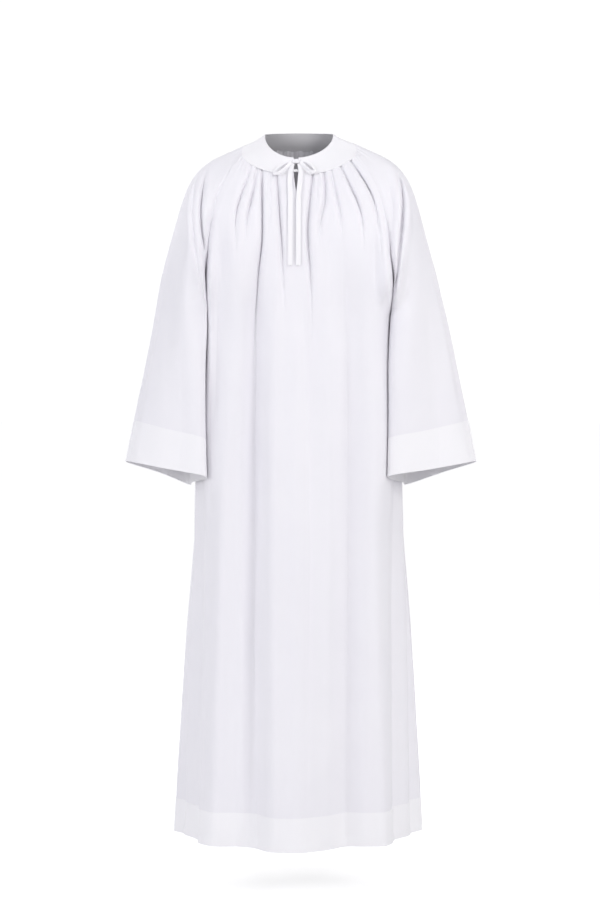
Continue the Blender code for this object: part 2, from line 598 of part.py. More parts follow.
def put_object(name, mesh_source, colour):
    """A named object from a bmesh, with its own material."""
    mesh = bpy.data.meshes.new(name)
    for face in mesh_source.faces:
        face.smooth = True
        face.material_index = 0
    mesh_source.to_mesh(mesh)
    mesh_source.free()
    mesh.materials.append(cloth_material(name, colour))
    mesh.set_sharp_from_angle(angle=math.radians(50))
    thing = bpy.data.objects.new(name, mesh)
    bpy.context.scene.collection.objects.link(thing)
    return thing


def sew_pieces(skin):
    """One object for each sewn piece of the skin."""
    for name, thickness, colour in PIECES:
        shell = skin.copy()
        others = [face for face in shell.faces if face.material_index != TAG[name]]
        bmesh.ops.delete(shell, geom=others, context="FACES")
        hold_back_edges(shell)
        bmesh.ops.triangulate(shell, faces=shell.faces[:], quad_method="FIXED")
        thicken(shell, thickness)
        put_object(name, shell, colour)


# ---------------------------------------------------------------------------------------------
# The tie
# ---------------------------------------------------------------------------------------------

def front_of(tree, x, z, reach=0.0):
    """The foremost Y of the skin at a place seen from the front, or within a reach of it."""
    found = []
    for dx in (-reach, 0.0, reach):
        for dz in (-reach, 0.0, reach):
            hit = tree.ray_cast(Vector((x + dx, -1.0, z + dz)), Vector((0, 1, 0)))[0]
            if hit is not None and hit.y < 0:
                found.append(hit.y)
    return min(found)


def ribbon(name, path, faces, widths):
    """A flat tube swept along a path, its broad side turned to the direction given at each point."""
    shell = bmesh.new()
    rings = []
    for number, (point, face, width) in enumerate(zip(path, faces, widths)):
        ahead = path[min(number + 1, len(path) - 1)]
        behind = path[max(number - 1, 0)]
        along = (ahead - behind).normalized()
        out = (face - along * face.dot(along)).normalized()
        across = along.cross(out)
        ring = []
        for side in range(TIE_SIDES):
            turn = 2 * math.pi * (side + 0.5) / TIE_SIDES
            flat = math.copysign(abs(math.cos(turn)) ** TIE_SQUARENESS, math.cos(turn)) * width / 2
            thick = math.copysign(abs(math.sin(turn)) ** TIE_SQUARENESS, math.sin(turn)) * TIE_THICKNESS / 2
            ring.append(shell.verts.new(point + across * flat + out * thick))
        rings.append(ring)
    for one, two in zip(rings, rings[1:]):
        for side in range(TIE_SIDES):
            after = (side + 1) % TIE_SIDES
            shell.faces.new((one[side], one[after], two[after], two[side]))
    shell.faces.new(rings[0])
    shell.faces.new(rings[-1])
    bmesh.ops.recalc_face_normals(shell, faces=shell.faces[:])
    put_object(name, shell, WHITE_DOUBLE)


def box(name, centre, size, bevel):
    """A soft-edged block of folded cloth."""
    shell = bmesh.new()
    bmesh.ops.create_cube(shell, size=1.0)
    bmesh.ops.scale(shell, vec=size, verts=shell.verts[:])
    bmesh.ops.bevel(shell, geom=shell.edges[:], offset=bevel, offset_type="OFFSET", segments=2,
                    profile=0.5, affect="EDGES", clamp_overlap=True, material=-1)
    bmesh.ops.translate(shell, vec=centre, verts=shell.verts[:])
    bmesh.ops.recalc_face_normals(shell, faces=shell.faces[:])
    put_object(name, shell, WHITE_DOUBLE)


def tie_bow(skin):
    """The knot, the bar below it, and the loops and free ends that leave the knot."""
    tree = BVHTree.FromBMesh(skin)
    knot_edge = KNOT_SIZE[0] / 2
    knot_front = front_of(tree, KNOT_X + knot_edge, KNOT_Z, KNOT_SIZE[2] / 2)
    box("tie_knot", (KNOT_X, knot_front - SEAM_GAP - KNOT_SIZE[1] / 2, KNOT_Z), KNOT_SIZE, KNOT_BEVEL)
    bar_edge = SLIT_HALF_WIDTHS[0] + BAR_LAP
    bar_front = front_of(tree, SLIT_X + bar_edge, BAR_Z, BAR_SIZE[2] / 2)
    box("neck_bar", (SLIT_X, bar_front - SEAM_GAP - BAR_SIZE[1] / 2, BAR_Z), BAR_SIZE, BAR_SIZE[1] / 4)
    top = KNOT_Z - KNOT_SIZE[2] / 2 - SEAM_GAP * 2
    for side, places in TIE_ENDS.items():
        path, widths = [], []
        for drop in np.linspace(0, 1, TIE_END_ROWS + 1) ** 1.6:
            x = smooth_table((0.0, 0.2, 1.0), [(place,) for place in places], drop)[0, 0]
            z = top - drop * TIE_END_DROP
            over_bar = 1 - ease((abs(z - BAR_Z) - BAR_SIZE[2]) / BAR_SIZE[2])
            lift = TIE_END_LIFT + over_bar * (BAR_SIZE[1] + SEAM_GAP)
            path.append(Vector((x, front_of(tree, x, z, TIE_WIDTH / 2) - lift, z)))
            widths.append(TIE_WIDTH * (TIE_AT_KNOT + (1 - TIE_AT_KNOT) * ease(drop / TIE_SPREAD)))
        ribbon("tie_end_" + side, path, [Vector((0, -1, 0))] * len(path), widths)
    for side, route in LOOP_ROUTES.items():
        way = 1 if side == "left" else -1
        start = KNOT_X + way * (knot_edge + LOOP_GAP)
        points = smooth_table(np.linspace(0, 1, len(route)), route, np.linspace(0, 1, LOOP_ROWS + 1))
        path = [Vector((start + way * x, front_of(tree, start + way * x, KNOT_Z + z, 0.003) - lift,
                        KNOT_Z + z)) for x, z, lift in points]
        middle = sum(path, Vector()) / len(path)
        faces = []
        for point in path:
            outwards = point - middle
            outwards.y = 0
            faces.append((Vector((0, -1, 0)) + outwards.normalized() * LOOP_TILT).normalized())
        ribbon("tie_loop_" + side, path, faces, [LOOP_WIDTH] * len(path))


# ---------------------------------------------------------------------------------------------
# Start
# ---------------------------------------------------------------------------------------------

for old in list(bpy.data.objects):
    bpy.data.objects.remove(old, do_unlink=True)

skin = build_skin()
sew_pieces(skin)
tie_bow(skin)
skin.free()
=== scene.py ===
import math

import bmesh
import bpy
import numpy as np
from mathutils import Matrix, Vector, noise
from mathutils.bvhtree import BVHTree
from mathutils.kdtree import KDTree


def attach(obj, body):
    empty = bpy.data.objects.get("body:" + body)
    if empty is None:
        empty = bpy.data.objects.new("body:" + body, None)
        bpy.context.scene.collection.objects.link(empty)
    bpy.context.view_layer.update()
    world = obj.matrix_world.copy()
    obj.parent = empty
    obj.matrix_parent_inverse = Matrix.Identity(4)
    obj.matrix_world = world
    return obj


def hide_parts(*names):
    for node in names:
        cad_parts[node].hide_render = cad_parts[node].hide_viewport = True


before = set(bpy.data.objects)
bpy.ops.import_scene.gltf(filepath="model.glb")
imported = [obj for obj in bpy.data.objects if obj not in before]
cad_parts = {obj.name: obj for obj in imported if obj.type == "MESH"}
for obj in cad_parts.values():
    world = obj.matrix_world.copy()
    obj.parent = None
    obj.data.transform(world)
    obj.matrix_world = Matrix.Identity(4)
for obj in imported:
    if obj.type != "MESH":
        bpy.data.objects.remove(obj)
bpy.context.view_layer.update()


# The studio: a plain pale floor in bright white air, a large soft key lamp in front on the right, a
# weaker one on the left, and soft lamps above, at both sides and behind. The camera stands level
# with the wearer's hips.
CAMERA_PLACE = (0.002, -5.5, -0.523)
CAMERA_AIM_DROP = 0.147
SHOWN_HEIGHT = 1.89
SENSOR = 36.0
LAMPS = (
    # name, place, height it is aimed at, size, watts, colour
    ("key_lamp", (2.7, -3.8, 1.3), -0.6, 1.8, 73, (1.0, 0.985, 0.98)),
    ("fill_lamp", (-3.2, -3.0, 0.8), -0.5, 2.2, 47, (0.97, 0.97, 1.0)),
    ("top_lamp", (0.4, -1.2, 2.6), -0.3, 1.6, 17, (1.0, 1.0, 1.0)),
    ("left_lamp", (-4.2, -0.7, 0.6), -0.4, 1.4, 19, (0.97, 0.97, 1.0)),
    ("right_lamp", (4.2, -0.7, 0.8), -0.4, 1.4, 21, (1.0, 0.99, 0.98)),
    ("back_lamp", (-2.0, 3.8, 1.0), -0.6, 1.8, 60, (1.0, 0.99, 0.98)),
)
AIR_COLOUR = (0.95, 0.95, 1.0, 1)
AIR_STRENGTH = 0.48
BACKDROP_STRENGTH = 1.05
FLOOR_LEVEL = -1.58
FLOOR_REACH = 60.0
FLOOR_COLOUR = (0.88, 0.88, 0.88, 1)
FLOOR_ROUGHNESS = 0.8
FLOOR_GLOW = 3.4
FLOOR_GLOW_SHARE = 0.2

camera_data = bpy.data.cameras.new("studio_camera")
camera_data.sensor_fit = "VERTICAL"
camera_data.sensor_height = SENSOR
camera_data.lens = SENSOR * abs(CAMERA_PLACE[1]) / SHOWN_HEIGHT
camera = bpy.data.objects.new("studio_camera", camera_data)
camera.location = CAMERA_PLACE
camera.rotation_euler = (math.radians(90) - math.atan(CAMERA_AIM_DROP / abs(CAMERA_PLACE[1])), 0, 0)
bpy.context.scene.collection.objects.link(camera)
bpy.context.scene.camera = camera
bpy.context.scene.view_settings.view_transform = "Standard"

for name, place, aim_height, size, watts, colour in LAMPS:
    lamp_data = bpy.data.lights.new(name, "AREA")
    lamp_data.shape = "SQUARE"
    lamp_data.size = size
    lamp_data.energy = watts
    lamp_data.color = colour
    lamp = bpy.data.objects.new(name, lamp_data)
    lamp.location = place
    lamp.rotation_euler = (Vector((0, 0, aim_height)) - Vector(place)).to_track_quat("-Z", "Y").to_euler()
    bpy.context.scene.collection.objects.link(lamp)

air = bpy.data.worlds.new("studio_air")
air.use_nodes = True
air_nodes = air.node_tree.nodes
air_links = air.node_tree.links
soft_air = air_nodes["Background"]
soft_air.inputs["Color"].default_value = AIR_COLOUR
soft_air.inputs["Strength"].default_value = AIR_STRENGTH
backdrop = air_nodes.new("ShaderNodeBackground")
backdrop.inputs["Color"].default_value = (1, 1, 1, 1)
backdrop.inputs["Strength"].default_value = BACKDROP_STRENGTH
air_path = air_nodes.new("ShaderNodeLightPath")
seen_air = air_nodes.new("ShaderNodeMixShader")
air_links.new(air_path.outputs["Is Camera Ray"], seen_air.inputs["Fac"])
air_links.new(soft_air.outputs[0], seen_air.inputs[1])
air_links.new(backdrop.outputs[0], seen_air.inputs[2])
air_links.new(seen_air.outputs[0], air_nodes["World Output"].inputs["Surface"])
bpy.context.scene.world = air

floor_shape = bmesh.new()
bmesh.ops.create_grid(floor_shape, x_segments=2, y_segments=2, size=FLOOR_REACH)
bmesh.ops.translate(floor_shape, verts=floor_shape.verts, vec=(0, 0, FLOOR_LEVEL))
floor_mesh = bpy.data.meshes.new("studio_floor")
floor_shape.to_mesh(floor_mesh)
floor_shape.free()
floor = bpy.data.objects.new("studio_floor", floor_mesh)
bpy.context.scene.collection.objects.link(floor)
floor_paint = bpy.data.materials.new("pale floor paint")
floor_paint.use_nodes = True
floor_nodes = floor_paint.node_tree.nodes
floor_links = floor_paint.node_tree.links
floor_shader = floor_nodes["Principled BSDF"]
floor_shader.inputs["Base Color"].default_value = FLOOR_COLOUR
floor_shader.inputs["Roughness"].default_value = FLOOR_ROUGHNESS
floor_glow = floor_nodes.new("ShaderNodeEmission")
floor_glow.inputs["Strength"].default_value = FLOOR_GLOW
floor_path = floor_nodes.new("ShaderNodeLightPath")
floor_share = floor_nodes.new("ShaderNodeMath")
floor_share.operation = "MULTIPLY"
floor_share.inputs[1].default_value = FLOOR_GLOW_SHARE
floor_mix = floor_nodes.new("ShaderNodeMixShader")
floor_links.new(floor_path.outputs["Is Camera Ray"], floor_share.inputs[0])
floor_links.new(floor_share.outputs[0], floor_mix.inputs["Fac"])
floor_links.new(floor_shader.outputs[0], floor_mix.inputs[1])
floor_links.new(floor_glow.outputs[0], floor_mix.inputs[2])
floor_links.new(floor_mix.outputs[0], floor_nodes["Material Output"].inputs["Surface"])
floor_mesh.materials.append(floor_paint)


# Front panel: one width of white plain-weave cotton, gathered by hand to the yoke and left to fall
# in long soft folds to the hem. A short slit opens it at the centre front, and a side seam joins
# it to the back on each side.
CLOTH_WALL = 0.0014
CLOTH_THICKNESS = 0.0007
CLOTH_COLOURS = ((0.84, 0.83, 0.872), (0.89, 0.88, 0.91))
THREADS_PER_METRE = 2100
SLUB_ACROSS = 0.9
SLUB_ALONG = 0.05
SLUB_HEIGHT = 0.5
SLUB_SHADE = 0.65
# A share of the weave's colour is painted shade: darker in the dips between the threads, lighter on their
# crowns.
RIB_PAINTED_SHADE = 0.35

# A solid is welded, and its outer face is found by the edges that cross its wall. Its triangles are
# put back into squares, evened out and rounded, with its corners kept.
WELD = 2e-5
WALL_PLAY = 0.004
EDGE_PLAY = 0.01
CORNER_COSINE = -0.55
EVENING = 0.9
SMOOTHING = 0.4

# The body is fuller at its corners, and its raglan seams stand forward in front of the armholes, by
# a lift at each drop on the wearer's right (-1) and left (1).
FULLNESS = 0.010
FULL_FORWARD = 1.3
FULL_DROPS = ((0.27, 0.36, 0.62, 0.86), (0, 1, 1, 0))
FULL_ACROSS = (0.11, 0.185)
FULL_FRONT = (0.0, 0.09)
RAGLAN_LINE = ((0.18, 0.22, 0.27), (0.177, 0.185, 0.189))
ARMHOLE_REACH = 0.036
ARMHOLE_FRONT = (0.0, 0.05)
ARMHOLE_LIFTS = {
    -1: ((0.16, 0.20, 0.23, 0.26, 0.29, 0.32, 0.37), (0, 0.007, 0.016, 0.027, 0.034, 0.026, 0)),
    1: ((0.16, 0.19, 0.22, 0.25, 0.28, 0.31, 0.34, 0.38), (0, 0.013, 0.028, 0.044, 0.058, 0.066, 0.056, 0)),
}

# A fold presses where the cloth faces its way. Its line is smoothed over three lags of the drop, its
# flanks are soft, its slot is in millimetres, and its ridges stand in widths of its flanks.
FACING_START = 0.12
FACING_RUN = 0.5
FOLD_LAGS = (-0.015, 0, 0.015)
FLANK_POWER = 1.4
SLOT_WIDTH = 2.6
RIDGE_PLACE = 1.9
RIDGE_WIDTH = 0.8
RIDGE_SHARE = 0.2

# Washed cotton wavers in swells and ripples, each with its waves to a metre round and down. Gathers
# have a middle size and length and how far these stray. An edge tucks in by its reach and its depth.
SWELL = 0.0011
SWELL_SEED = 3.1
SWELL_WAVES = (16, 4.5)
RIPPLE_WAVES = (42, 15)
RIPPLE_SHARE = 0.35
GATHER_START = 0.006
GATHER_SIZES = (0.75, 0.9)
GATHER_LENGTHS = (0.8, 0.9)
GATHER_SHIFTS = (0, 1.3)
TUCK_IN = (0.004, 0.0007)
SIDE_TUCK_IN = (0.0015, 0.0004)


def outer_cloth(node, wall):
    """The node's outer face alone, with its triangles put back into the squares they were cut from."""
    cloth = bmesh.new()
    cloth.from_mesh(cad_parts[node].data)
    bmesh.ops.remove_doubles(cloth, verts=cloth.verts, dist=WELD)
    through = {edge for edge in cloth.edges if abs(edge.calc_length() - wall) < wall * WALL_PLAY}
    rim = [face for face in cloth.faces if through.intersection(face.edges)]
    bmesh.ops.delete(cloth, geom=rim, context="FACES")
    waiting = set(cloth.faces)
    walls = []
    while waiting:
        wall_faces = [waiting.pop()]
        for face in wall_faces:
            beside = {near for edge in face.edges for near in edge.link_faces} & waiting
            waiting -= beside
            wall_faces.extend(beside)
        walls.append(wall_faces)
    walls.sort(key=lambda faces: sum(face.calc_area() for face in faces))
    bmesh.ops.delete(cloth, geom=[face for faces in walls[:-1] for face in faces], context="FACES")

    def corner_first(face):
        turns = [abs(math.cos(loop.calc_angle())) for loop in face.loops]
        return (-sum(edge.is_boundary for edge in face.edges), min(turns))

    start = min(cloth.faces, key=corner_first)
    inside = [edge for edge in start.edges if not edge.is_boundary]
    longest = max(start.edges, key=lambda edge: edge.calc_length())
    cut = inside[0] if len(inside) == 1 else longest
    sides = [edge for edge in start.edges if edge != cut]
    kinds = {cut: 0, sides[0]: 1, sides[1]: 2}
    done = {start}
    queue = [start]
    for face in queue:
        for loop in face.loops:
            other = loop.link_loop_radial_next
            if other.face in done:
                continue
            done.add(other.face)
            queue.append(other.face)
            kinds[other.link_loop_next.edge] = kinds[loop.link_loop_next.edge]
            kinds[other.link_loop_prev.edge] = kinds[loop.link_loop_prev.edge]
    cuts = [edge for edge, kind in kinds.items() if kind == 0]
    bmesh.ops.dissolve_edges(cloth, edges=cuts, use_verts=False)
    return cloth


def lay_grain(cloth, seam=()):
    """Numbers the squares across and down (map "places") and measures the threads (map "threads")."""
    places = cloth.loops.layers.uv.new("places")
    threads = cloth.loops.layers.uv.new("threads")
    lowest = min(cloth.faces, key=lambda face: face.calc_center_median().z)

    def slope(loop):
        run = loop.link_loop_next.vert.co - loop.vert.co
        return abs(run.z) / run.length

    first = min(lowest.loops, key=slope)
    spots = {}
    for step, place in enumerate(((0, 0), (1, 0), (1, 1), (0, 1))):
        spots[first] = place
        first = first.link_loop_next
    queue = [lowest]
    done = {lowest}
    for face in queue:
        for loop in face.loops:
            other = loop.link_loop_radial_next
            if other.face in done or loop.edge in seam:
                continue
            done.add(other.face)
            queue.append(other.face)
            here = spots[loop]
            there = spots[loop.link_loop_next]
            side = (-(here[1] - there[1]), here[0] - there[0])
            spots[other] = there
            spots[other.link_loop_next] = here
            spots[other.link_loop_next.link_loop_next] = (here[0] + side[0], here[1] + side[1])
            spots[other.link_loop_prev] = (there[0] + side[0], there[1] + side[1])
    points = {place: loop.vert.co for loop, place in spots.items()}
    columns = sorted({place[0] for place in points})
    rows = sorted({place[1] for place in points})

    def height(row):
        heights = [points[place].z for place in points if place[1] == row]
        return sum(heights) / len(heights)

    if height(rows[0]) < height(rows[-1]):
        rows.reverse()
    if points[(columns[0], rows[-1])].x > points[(columns[len(columns) // 2], rows[-1])].x:
        columns.reverse()
    across = {}
    down = {}
    for row in rows:
        run = 0.0
        for index, column in enumerate(columns):
            if index and (column, row) in points and (columns[index - 1], row) in points:
                run += (points[(column, row)] - points[(columns[index - 1], row)]).length
            across[(column, row)] = run
        middle = across[(columns[len(columns) // 2], row)]
        for column in columns:
            across[(column, row)] -= middle
    for column in columns:
        run = 0.0
        for index, row in enumerate(rows):
            if index and (column, row) in points and (column, rows[index - 1]) in points:
                run += (points[(column, row)] - points[(column, rows[index - 1])]).length
            down[(column, row)] = run
    for loop, place in spots.items():
        loop[places].uv = (columns.index(place[0]), rows.index(place[1]))
        loop[threads].uv = (across[place], down[place])
    return len(columns) - 1, len(rows) - 1


def even_out(cloth, share):
    """Quiets regular pleating: draws each point towards the middle of its two neighbours across."""
    places = cloth.loops.layers.uv["places"]
    beside = {}
    for face in cloth.faces:
        for loop in face.loops:
            other = loop.link_loop_next
            if abs((other[places].uv - loop[places].uv).x) > 0.5:
                beside.setdefault(loop.vert, set()).add(other.vert)
                beside.setdefault(other.vert, set()).add(loop.vert)
    moves = {}
    for vert, near in beside.items():
        if len(near) == 2:
            first, second = near
            moves[vert] = ((first.co + second.co) / 2 - vert.co) * share / 2
    for vert, move in moves.items():
        vert.co += move


def round_out(cloth, levels, finer=1):
    """Rounds the squares into one smooth cloth, then splits each once more across where finer is 2."""
    sharp = cloth.verts.layers.float.new("crease_vert")
    for vert in cloth.verts:
        rims = [edge for edge in vert.link_edges if edge.is_boundary]
        if len(rims) == 2:
            ways = [(edge.other_vert(vert).co - vert.co).normalized() for edge in rims]
            vert[sharp] = 1.0 if ways[0].dot(ways[1]) > CORNER_COSINE else 0.0
    mesh = bpy.data.meshes.new("laid_cloth")
    cloth.to_mesh(mesh)
    cloth.free()
    holder = bpy.data.objects.new("laid_cloth", mesh)
    bpy.context.scene.collection.objects.link(holder)
    rounding = holder.modifiers.new("rounding", "SUBSURF")
    rounding.levels = levels
    rounding.render_levels = levels
    rounded = bpy.data.meshes.new_from_object(holder.evaluated_get(bpy.context.evaluated_depsgraph_get()))
    bpy.data.objects.remove(holder)
    cloth = bmesh.new()
    cloth.from_mesh(rounded)
    if finer > 1:
        places = cloth.loops.layers.uv["places"]

        def runs_across(edge):
            loop = edge.link_loops[0]
            step = loop.link_loop_next[places].uv - loop[places].uv
            return abs(step.x) > abs(step.y)

        wide = [edge for edge in cloth.edges if runs_across(edge)]
        bmesh.ops.subdivide_edges(cloth, edges=wide, cuts=finer - 1)
        inner = [vert for vert in cloth.verts if not vert.is_boundary]
        bmesh.ops.smooth_vert(
            cloth, verts=inner, factor=SMOOTHING, use_axis_x=True, use_axis_y=True, use_axis_z=True
        )
    return cloth


def trough(creases, drop, across):
    """How deep the folds press at each point, in metres.

    Each is a soft trough with a low ridge along both flanks, and some have a narrow slot in the middle.
    """
    depth = np.zeros_like(drop)
    for left, right, slot, stations in creases:
        table = np.array(stations, float) / 1000
        lags = [drop + lag for lag in FOLD_LAGS]
        middle = sum(np.interp(lag, table[:, 0], table[:, 1]) for lag in lags) / len(lags)
        deep = sum(np.interp(lag, table[:, 0], table[:, 2], 0, 0) for lag in lags) / len(lags)
        aside = across - middle
        reach = np.abs(aside * 1000) / np.where(aside < 0, left, right)
        soft = np.exp(-(reach**FLANK_POWER))
        sharp = np.exp(-((aside * 1000 / SLOT_WIDTH) ** 2))
        ridge = np.exp(-(((reach - RIDGE_PLACE) / RIDGE_WIDTH) ** 2))
        depth += deep * ((1 - slot) * soft + slot * sharp - RIDGE_SHARE * (1 - slot) * ridge)
    return depth


def ease(share):
    """A share from 0 to 1 with a soft start and a soft end."""
    return share * share * (3 - 2 * share)


def facing(amount):
    """0 where the cloth faces away, 1 where it faces squarely, with a soft start."""
    return ease(np.clip((amount - FACING_START) / FACING_RUN, 0, 1))


def press_folds(cloth, front=(), back=(), side=()):
    """Presses the folds of the front, back and side into the cloth, each along its own direction."""
    cloth.normal_update()
    spots = np.array([vert.co for vert in cloth.verts])
    normals = np.array([vert.normal for vert in cloth.verts])
    drop = -spots[:, 2]
    moves = np.zeros_like(spots)
    moves[:, 1] += facing(-normals[:, 1]) * trough(front, drop, spots[:, 0])
    moves[:, 1] -= facing(normals[:, 1]) * trough(back, drop, spots[:, 0])
    outward = np.sign(spots[:, 0])
    moves[:, 0] -= outward * facing(normals[:, 0] * outward) * trough(side, drop, spots[:, 1])
    for vert, move in zip(cloth.verts, moves):
        vert.co += Vector(move)


def soften(cloth):
    """The slight unevenness of washed cotton: long low swells, stretched along the fall."""
    cloth.normal_update()
    for vert in cloth.verts:
        x, y, z = vert.co
        around, down = SWELL_WAVES
        swell = noise.noise(Vector((x * around + SWELL_SEED, y * around, z * down)))
        around, down = RIPPLE_WAVES
        ripple = noise.noise(Vector((x * around, y * around + SWELL_SEED, z * down)))
        vert.co += vert.normal * SWELL * (swell + RIPPLE_SHARE * ripple)


def stray(middle, spread, place):
    """A value that strays from its middle from place to place."""
    return middle + spread * noise.noise(Vector(place))


def gather(cloth, long, height, seed):
    """Small uneven gathers where the top edge is drawn into the yoke, no two of one length."""
    places = cloth.loops.layers.uv["places"]
    threads = cloth.loops.layers.uv["threads"]
    cloth.normal_update()
    moves = {}
    for vert in cloth.verts:
        loop = vert.link_loops[0]
        column = loop[places].uv.x
        below = loop[threads].uv.y
        size = stray(*GATHER_SIZES, (column * 0.55, seed, 0)) * (1 - math.exp(-below / GATHER_START))
        length = long * stray(*GATHER_LENGTHS, (column * 0.45, seed + 7, 0))
        shift = stray(*GATHER_SHIFTS, (column * 0.31, below * 9, seed + 3))
        wave = math.cos(math.pi * column + shift)
        fade = math.exp(-((below / length) ** 1.5))
        moves[vert] = vert.normal * height * size * wave * fade
    for vert, move in moves.items():
        vert.co += move


def edge_points(cloth, wanted):
    """The points along the edges of the piece whose place passes the test."""
    places = cloth.loops.layers.uv["places"]
    rim = [vert for vert in cloth.verts if vert.is_boundary]
    return [vert for vert in rim if wanted(vert.link_loops[0][places].uv)]


def at_end(place, squares):
    """Whether a place across or down the piece is at either end of its squares."""
    return not EDGE_PLAY < place < squares - EDGE_PLAY


def side_points(cloth, across):
    """The points along the left and right edges of the piece."""
    return edge_points(cloth, lambda place: at_end(place.x, across))


def tuck_edges(cloth, reach, deep, wanted):
    """Runs the wanted edges on under the piece they are sewn to, just below its face."""
    cloth.normal_update()
    moves = {}
    for vert in edge_points(cloth, wanted):
        middle = sum((face.calc_center_median() for face in vert.link_faces), Vector()) / len(vert.link_faces)
        moves[vert] = (vert.co - middle).normalized() * reach - vert.normal * deep
    for vert, move in moves.items():
        vert.co += move


def meet_seam(cloth, edge, mates, reach):
    """Draws an edge on to the edges it is sewn to and eases the cloth beside it, so that the seam is shut."""
    there = KDTree(len(mates))
    for index, mate in enumerate(mates):
        there.insert(mate, index)
    there.balance()
    here = KDTree(len(edge))
    for index, vert in enumerate(edge):
        here.insert(vert.co, index)
    here.balance()
    pulls = [there.find(vert.co)[0] - vert.co for vert in edge]
    moves = {}
    for vert in cloth.verts:
        _, index, far = here.find(vert.co)
        if far < reach:
            moves[vert] = pulls[index] * ease(1 - far / reach)
    for vert, move in moves.items():
        vert.co += move


def tuck_body(cloth, across, down):
    """Tucks a body panel under the yoke and the hem, and a little under its mates at the sides."""
    tuck_edges(cloth, *TUCK_IN, lambda place: at_end(place.y, down))
    tuck_edges(
        cloth, *SIDE_TUCK_IN, lambda place: not at_end(place.y, down) and not 1 < place.x < across - 1
    )


def fill_out(cloth):
    """Fills the corners of the body from armholes to hips, where the sleeves hang against it."""
    for vert in cloth.verts:
        spot = vert.co
        corner = ease(np.interp(abs(spot.x), FULL_ACROSS, (0, 1))) * np.interp(-spot.z, *FULL_DROPS)
        front = np.interp(-spot.y, FULL_FRONT, (0, 1))
        spot.x += math.copysign(FULLNESS * corner, spot.x)
        spot.y -= FULL_FORWARD * FULLNESS * corner * front


def fill_armhole(cloth):
    """Carries the raglan seam forward in front of the armhole, where sleeve and body lie together."""
    for vert in cloth.verts:
        spot = vert.co
        near = 1 - abs(abs(spot.x) - np.interp(-spot.z, *RAGLAN_LINE)) / ARMHOLE_REACH
        front = np.interp(-spot.y, ARMHOLE_FRONT, (0, 1))
        lift = np.interp(-spot.z, *ARMHOLE_LIFTS[1 if spot.x > 0 else -1])
        spot.y -= lift * ease(max(0.0, near)) * front


def finish_piece(name, cloth, thickness, material):
    """Gives the cloth its thickness and hangs the piece on the garment."""
    for face in cloth.faces:
        face.smooth = True
    for edge in cloth.edges:
        edge.smooth = not edge.is_boundary
    mesh = bpy.data.meshes.new(name)
    cloth.to_mesh(mesh)
    cloth.free()
    piece = bpy.data.objects.new(name, mesh)
    bpy.context.scene.collection.objects.link(piece)
    if thickness:
        wall = piece.modifiers.new("cloth thickness", "SOLIDIFY")
        wall.thickness = thickness
        wall.offset = -1
        wall.use_even_offset = False
    mesh.materials.append(material)
    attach(piece, "root")
    return piece


def weave_group():
    """Plain weave: threads over and under each other in turn, with a little slub in each. Its tone is a
    random slub tone and painted shade, darker in the dips between the threads and lighter on their crowns.
    """
    group = bpy.data.node_groups.new("plain weave", "ShaderNodeTree")
    group.interface.new_socket("Threads", in_out="INPUT", socket_type="NodeSocketVector")
    group.interface.new_socket("Threads per metre", in_out="INPUT", socket_type="NodeSocketFloat")
    group.interface.new_socket("Height", in_out="OUTPUT", socket_type="NodeSocketFloat")
    group.interface.new_socket("Tone and painted shade", in_out="OUTPUT", socket_type="NodeSocketFloat")
    nodes = group.nodes
    links = group.links
    given = nodes.new("NodeGroupInput")
    result = nodes.new("NodeGroupOutput")

    def reckon(operation, first, second=None):
        node = nodes.new("ShaderNodeMath")
        node.operation = operation
        for socket, value in zip(node.inputs, (first, second)):
            if value is None:
                continue
            if isinstance(value, (int, float)):
                socket.default_value = value
            else:
                links.new(value, socket)
        return node.outputs[0]

    split = nodes.new("ShaderNodeSeparateXYZ")
    links.new(given.outputs["Threads"], split.inputs[0])
    warp = reckon("MULTIPLY", split.outputs[0], given.outputs["Threads per metre"])
    weft = reckon("MULTIPLY", split.outputs[1], given.outputs["Threads per metre"])
    warp_round = reckon("ABSOLUTE", reckon("SINE", reckon("MULTIPLY", warp, math.pi)))
    weft_round = reckon("ABSOLUTE", reckon("SINE", reckon("MULTIPLY", weft, math.pi)))
    over = reckon("FLOORED_MODULO", reckon("ADD", reckon("FLOOR", warp), reckon("FLOOR", weft)), 2.0)
    under = reckon("SUBTRACT", 1.0, over)
    warp_top = reckon("MULTIPLY", over, reckon("MULTIPLY", warp_round, weft_round))
    weft_top = reckon("MULTIPLY", under, reckon("MULTIPLY", weft_round, warp_round))
    ribs = reckon("ADD", warp_top, weft_top)
    slub = nodes.new("ShaderNodeTexNoise")
    slub.inputs["Scale"].default_value = 1.0
    slub.inputs["Detail"].default_value = 2.0
    stretch = nodes.new("ShaderNodeCombineXYZ")
    links.new(reckon("MULTIPLY", warp, SLUB_ACROSS), stretch.inputs[0])
    links.new(reckon("MULTIPLY", weft, SLUB_ALONG), stretch.inputs[1])
    links.new(stretch.outputs[0], slub.inputs["Vector"])
    height = reckon("ADD", ribs, reckon("MULTIPLY", slub.outputs["Fac"], SLUB_HEIGHT))
    links.new(height, result.inputs["Height"])
    # Painted shade: the rib height colours the cloth darker in the dips between the threads and lighter on
    # their crowns. The slub adds a random tone.
    painted_rib_shade = reckon("MULTIPLY", ribs, RIB_PAINTED_SHADE)
    shade = reckon("ADD", painted_rib_shade, reckon("MULTIPLY", slub.outputs["Fac"], SLUB_SHADE))
    links.new(shade, result.inputs["Tone and painted shade"])
    return group


plain_weave = weave_group()


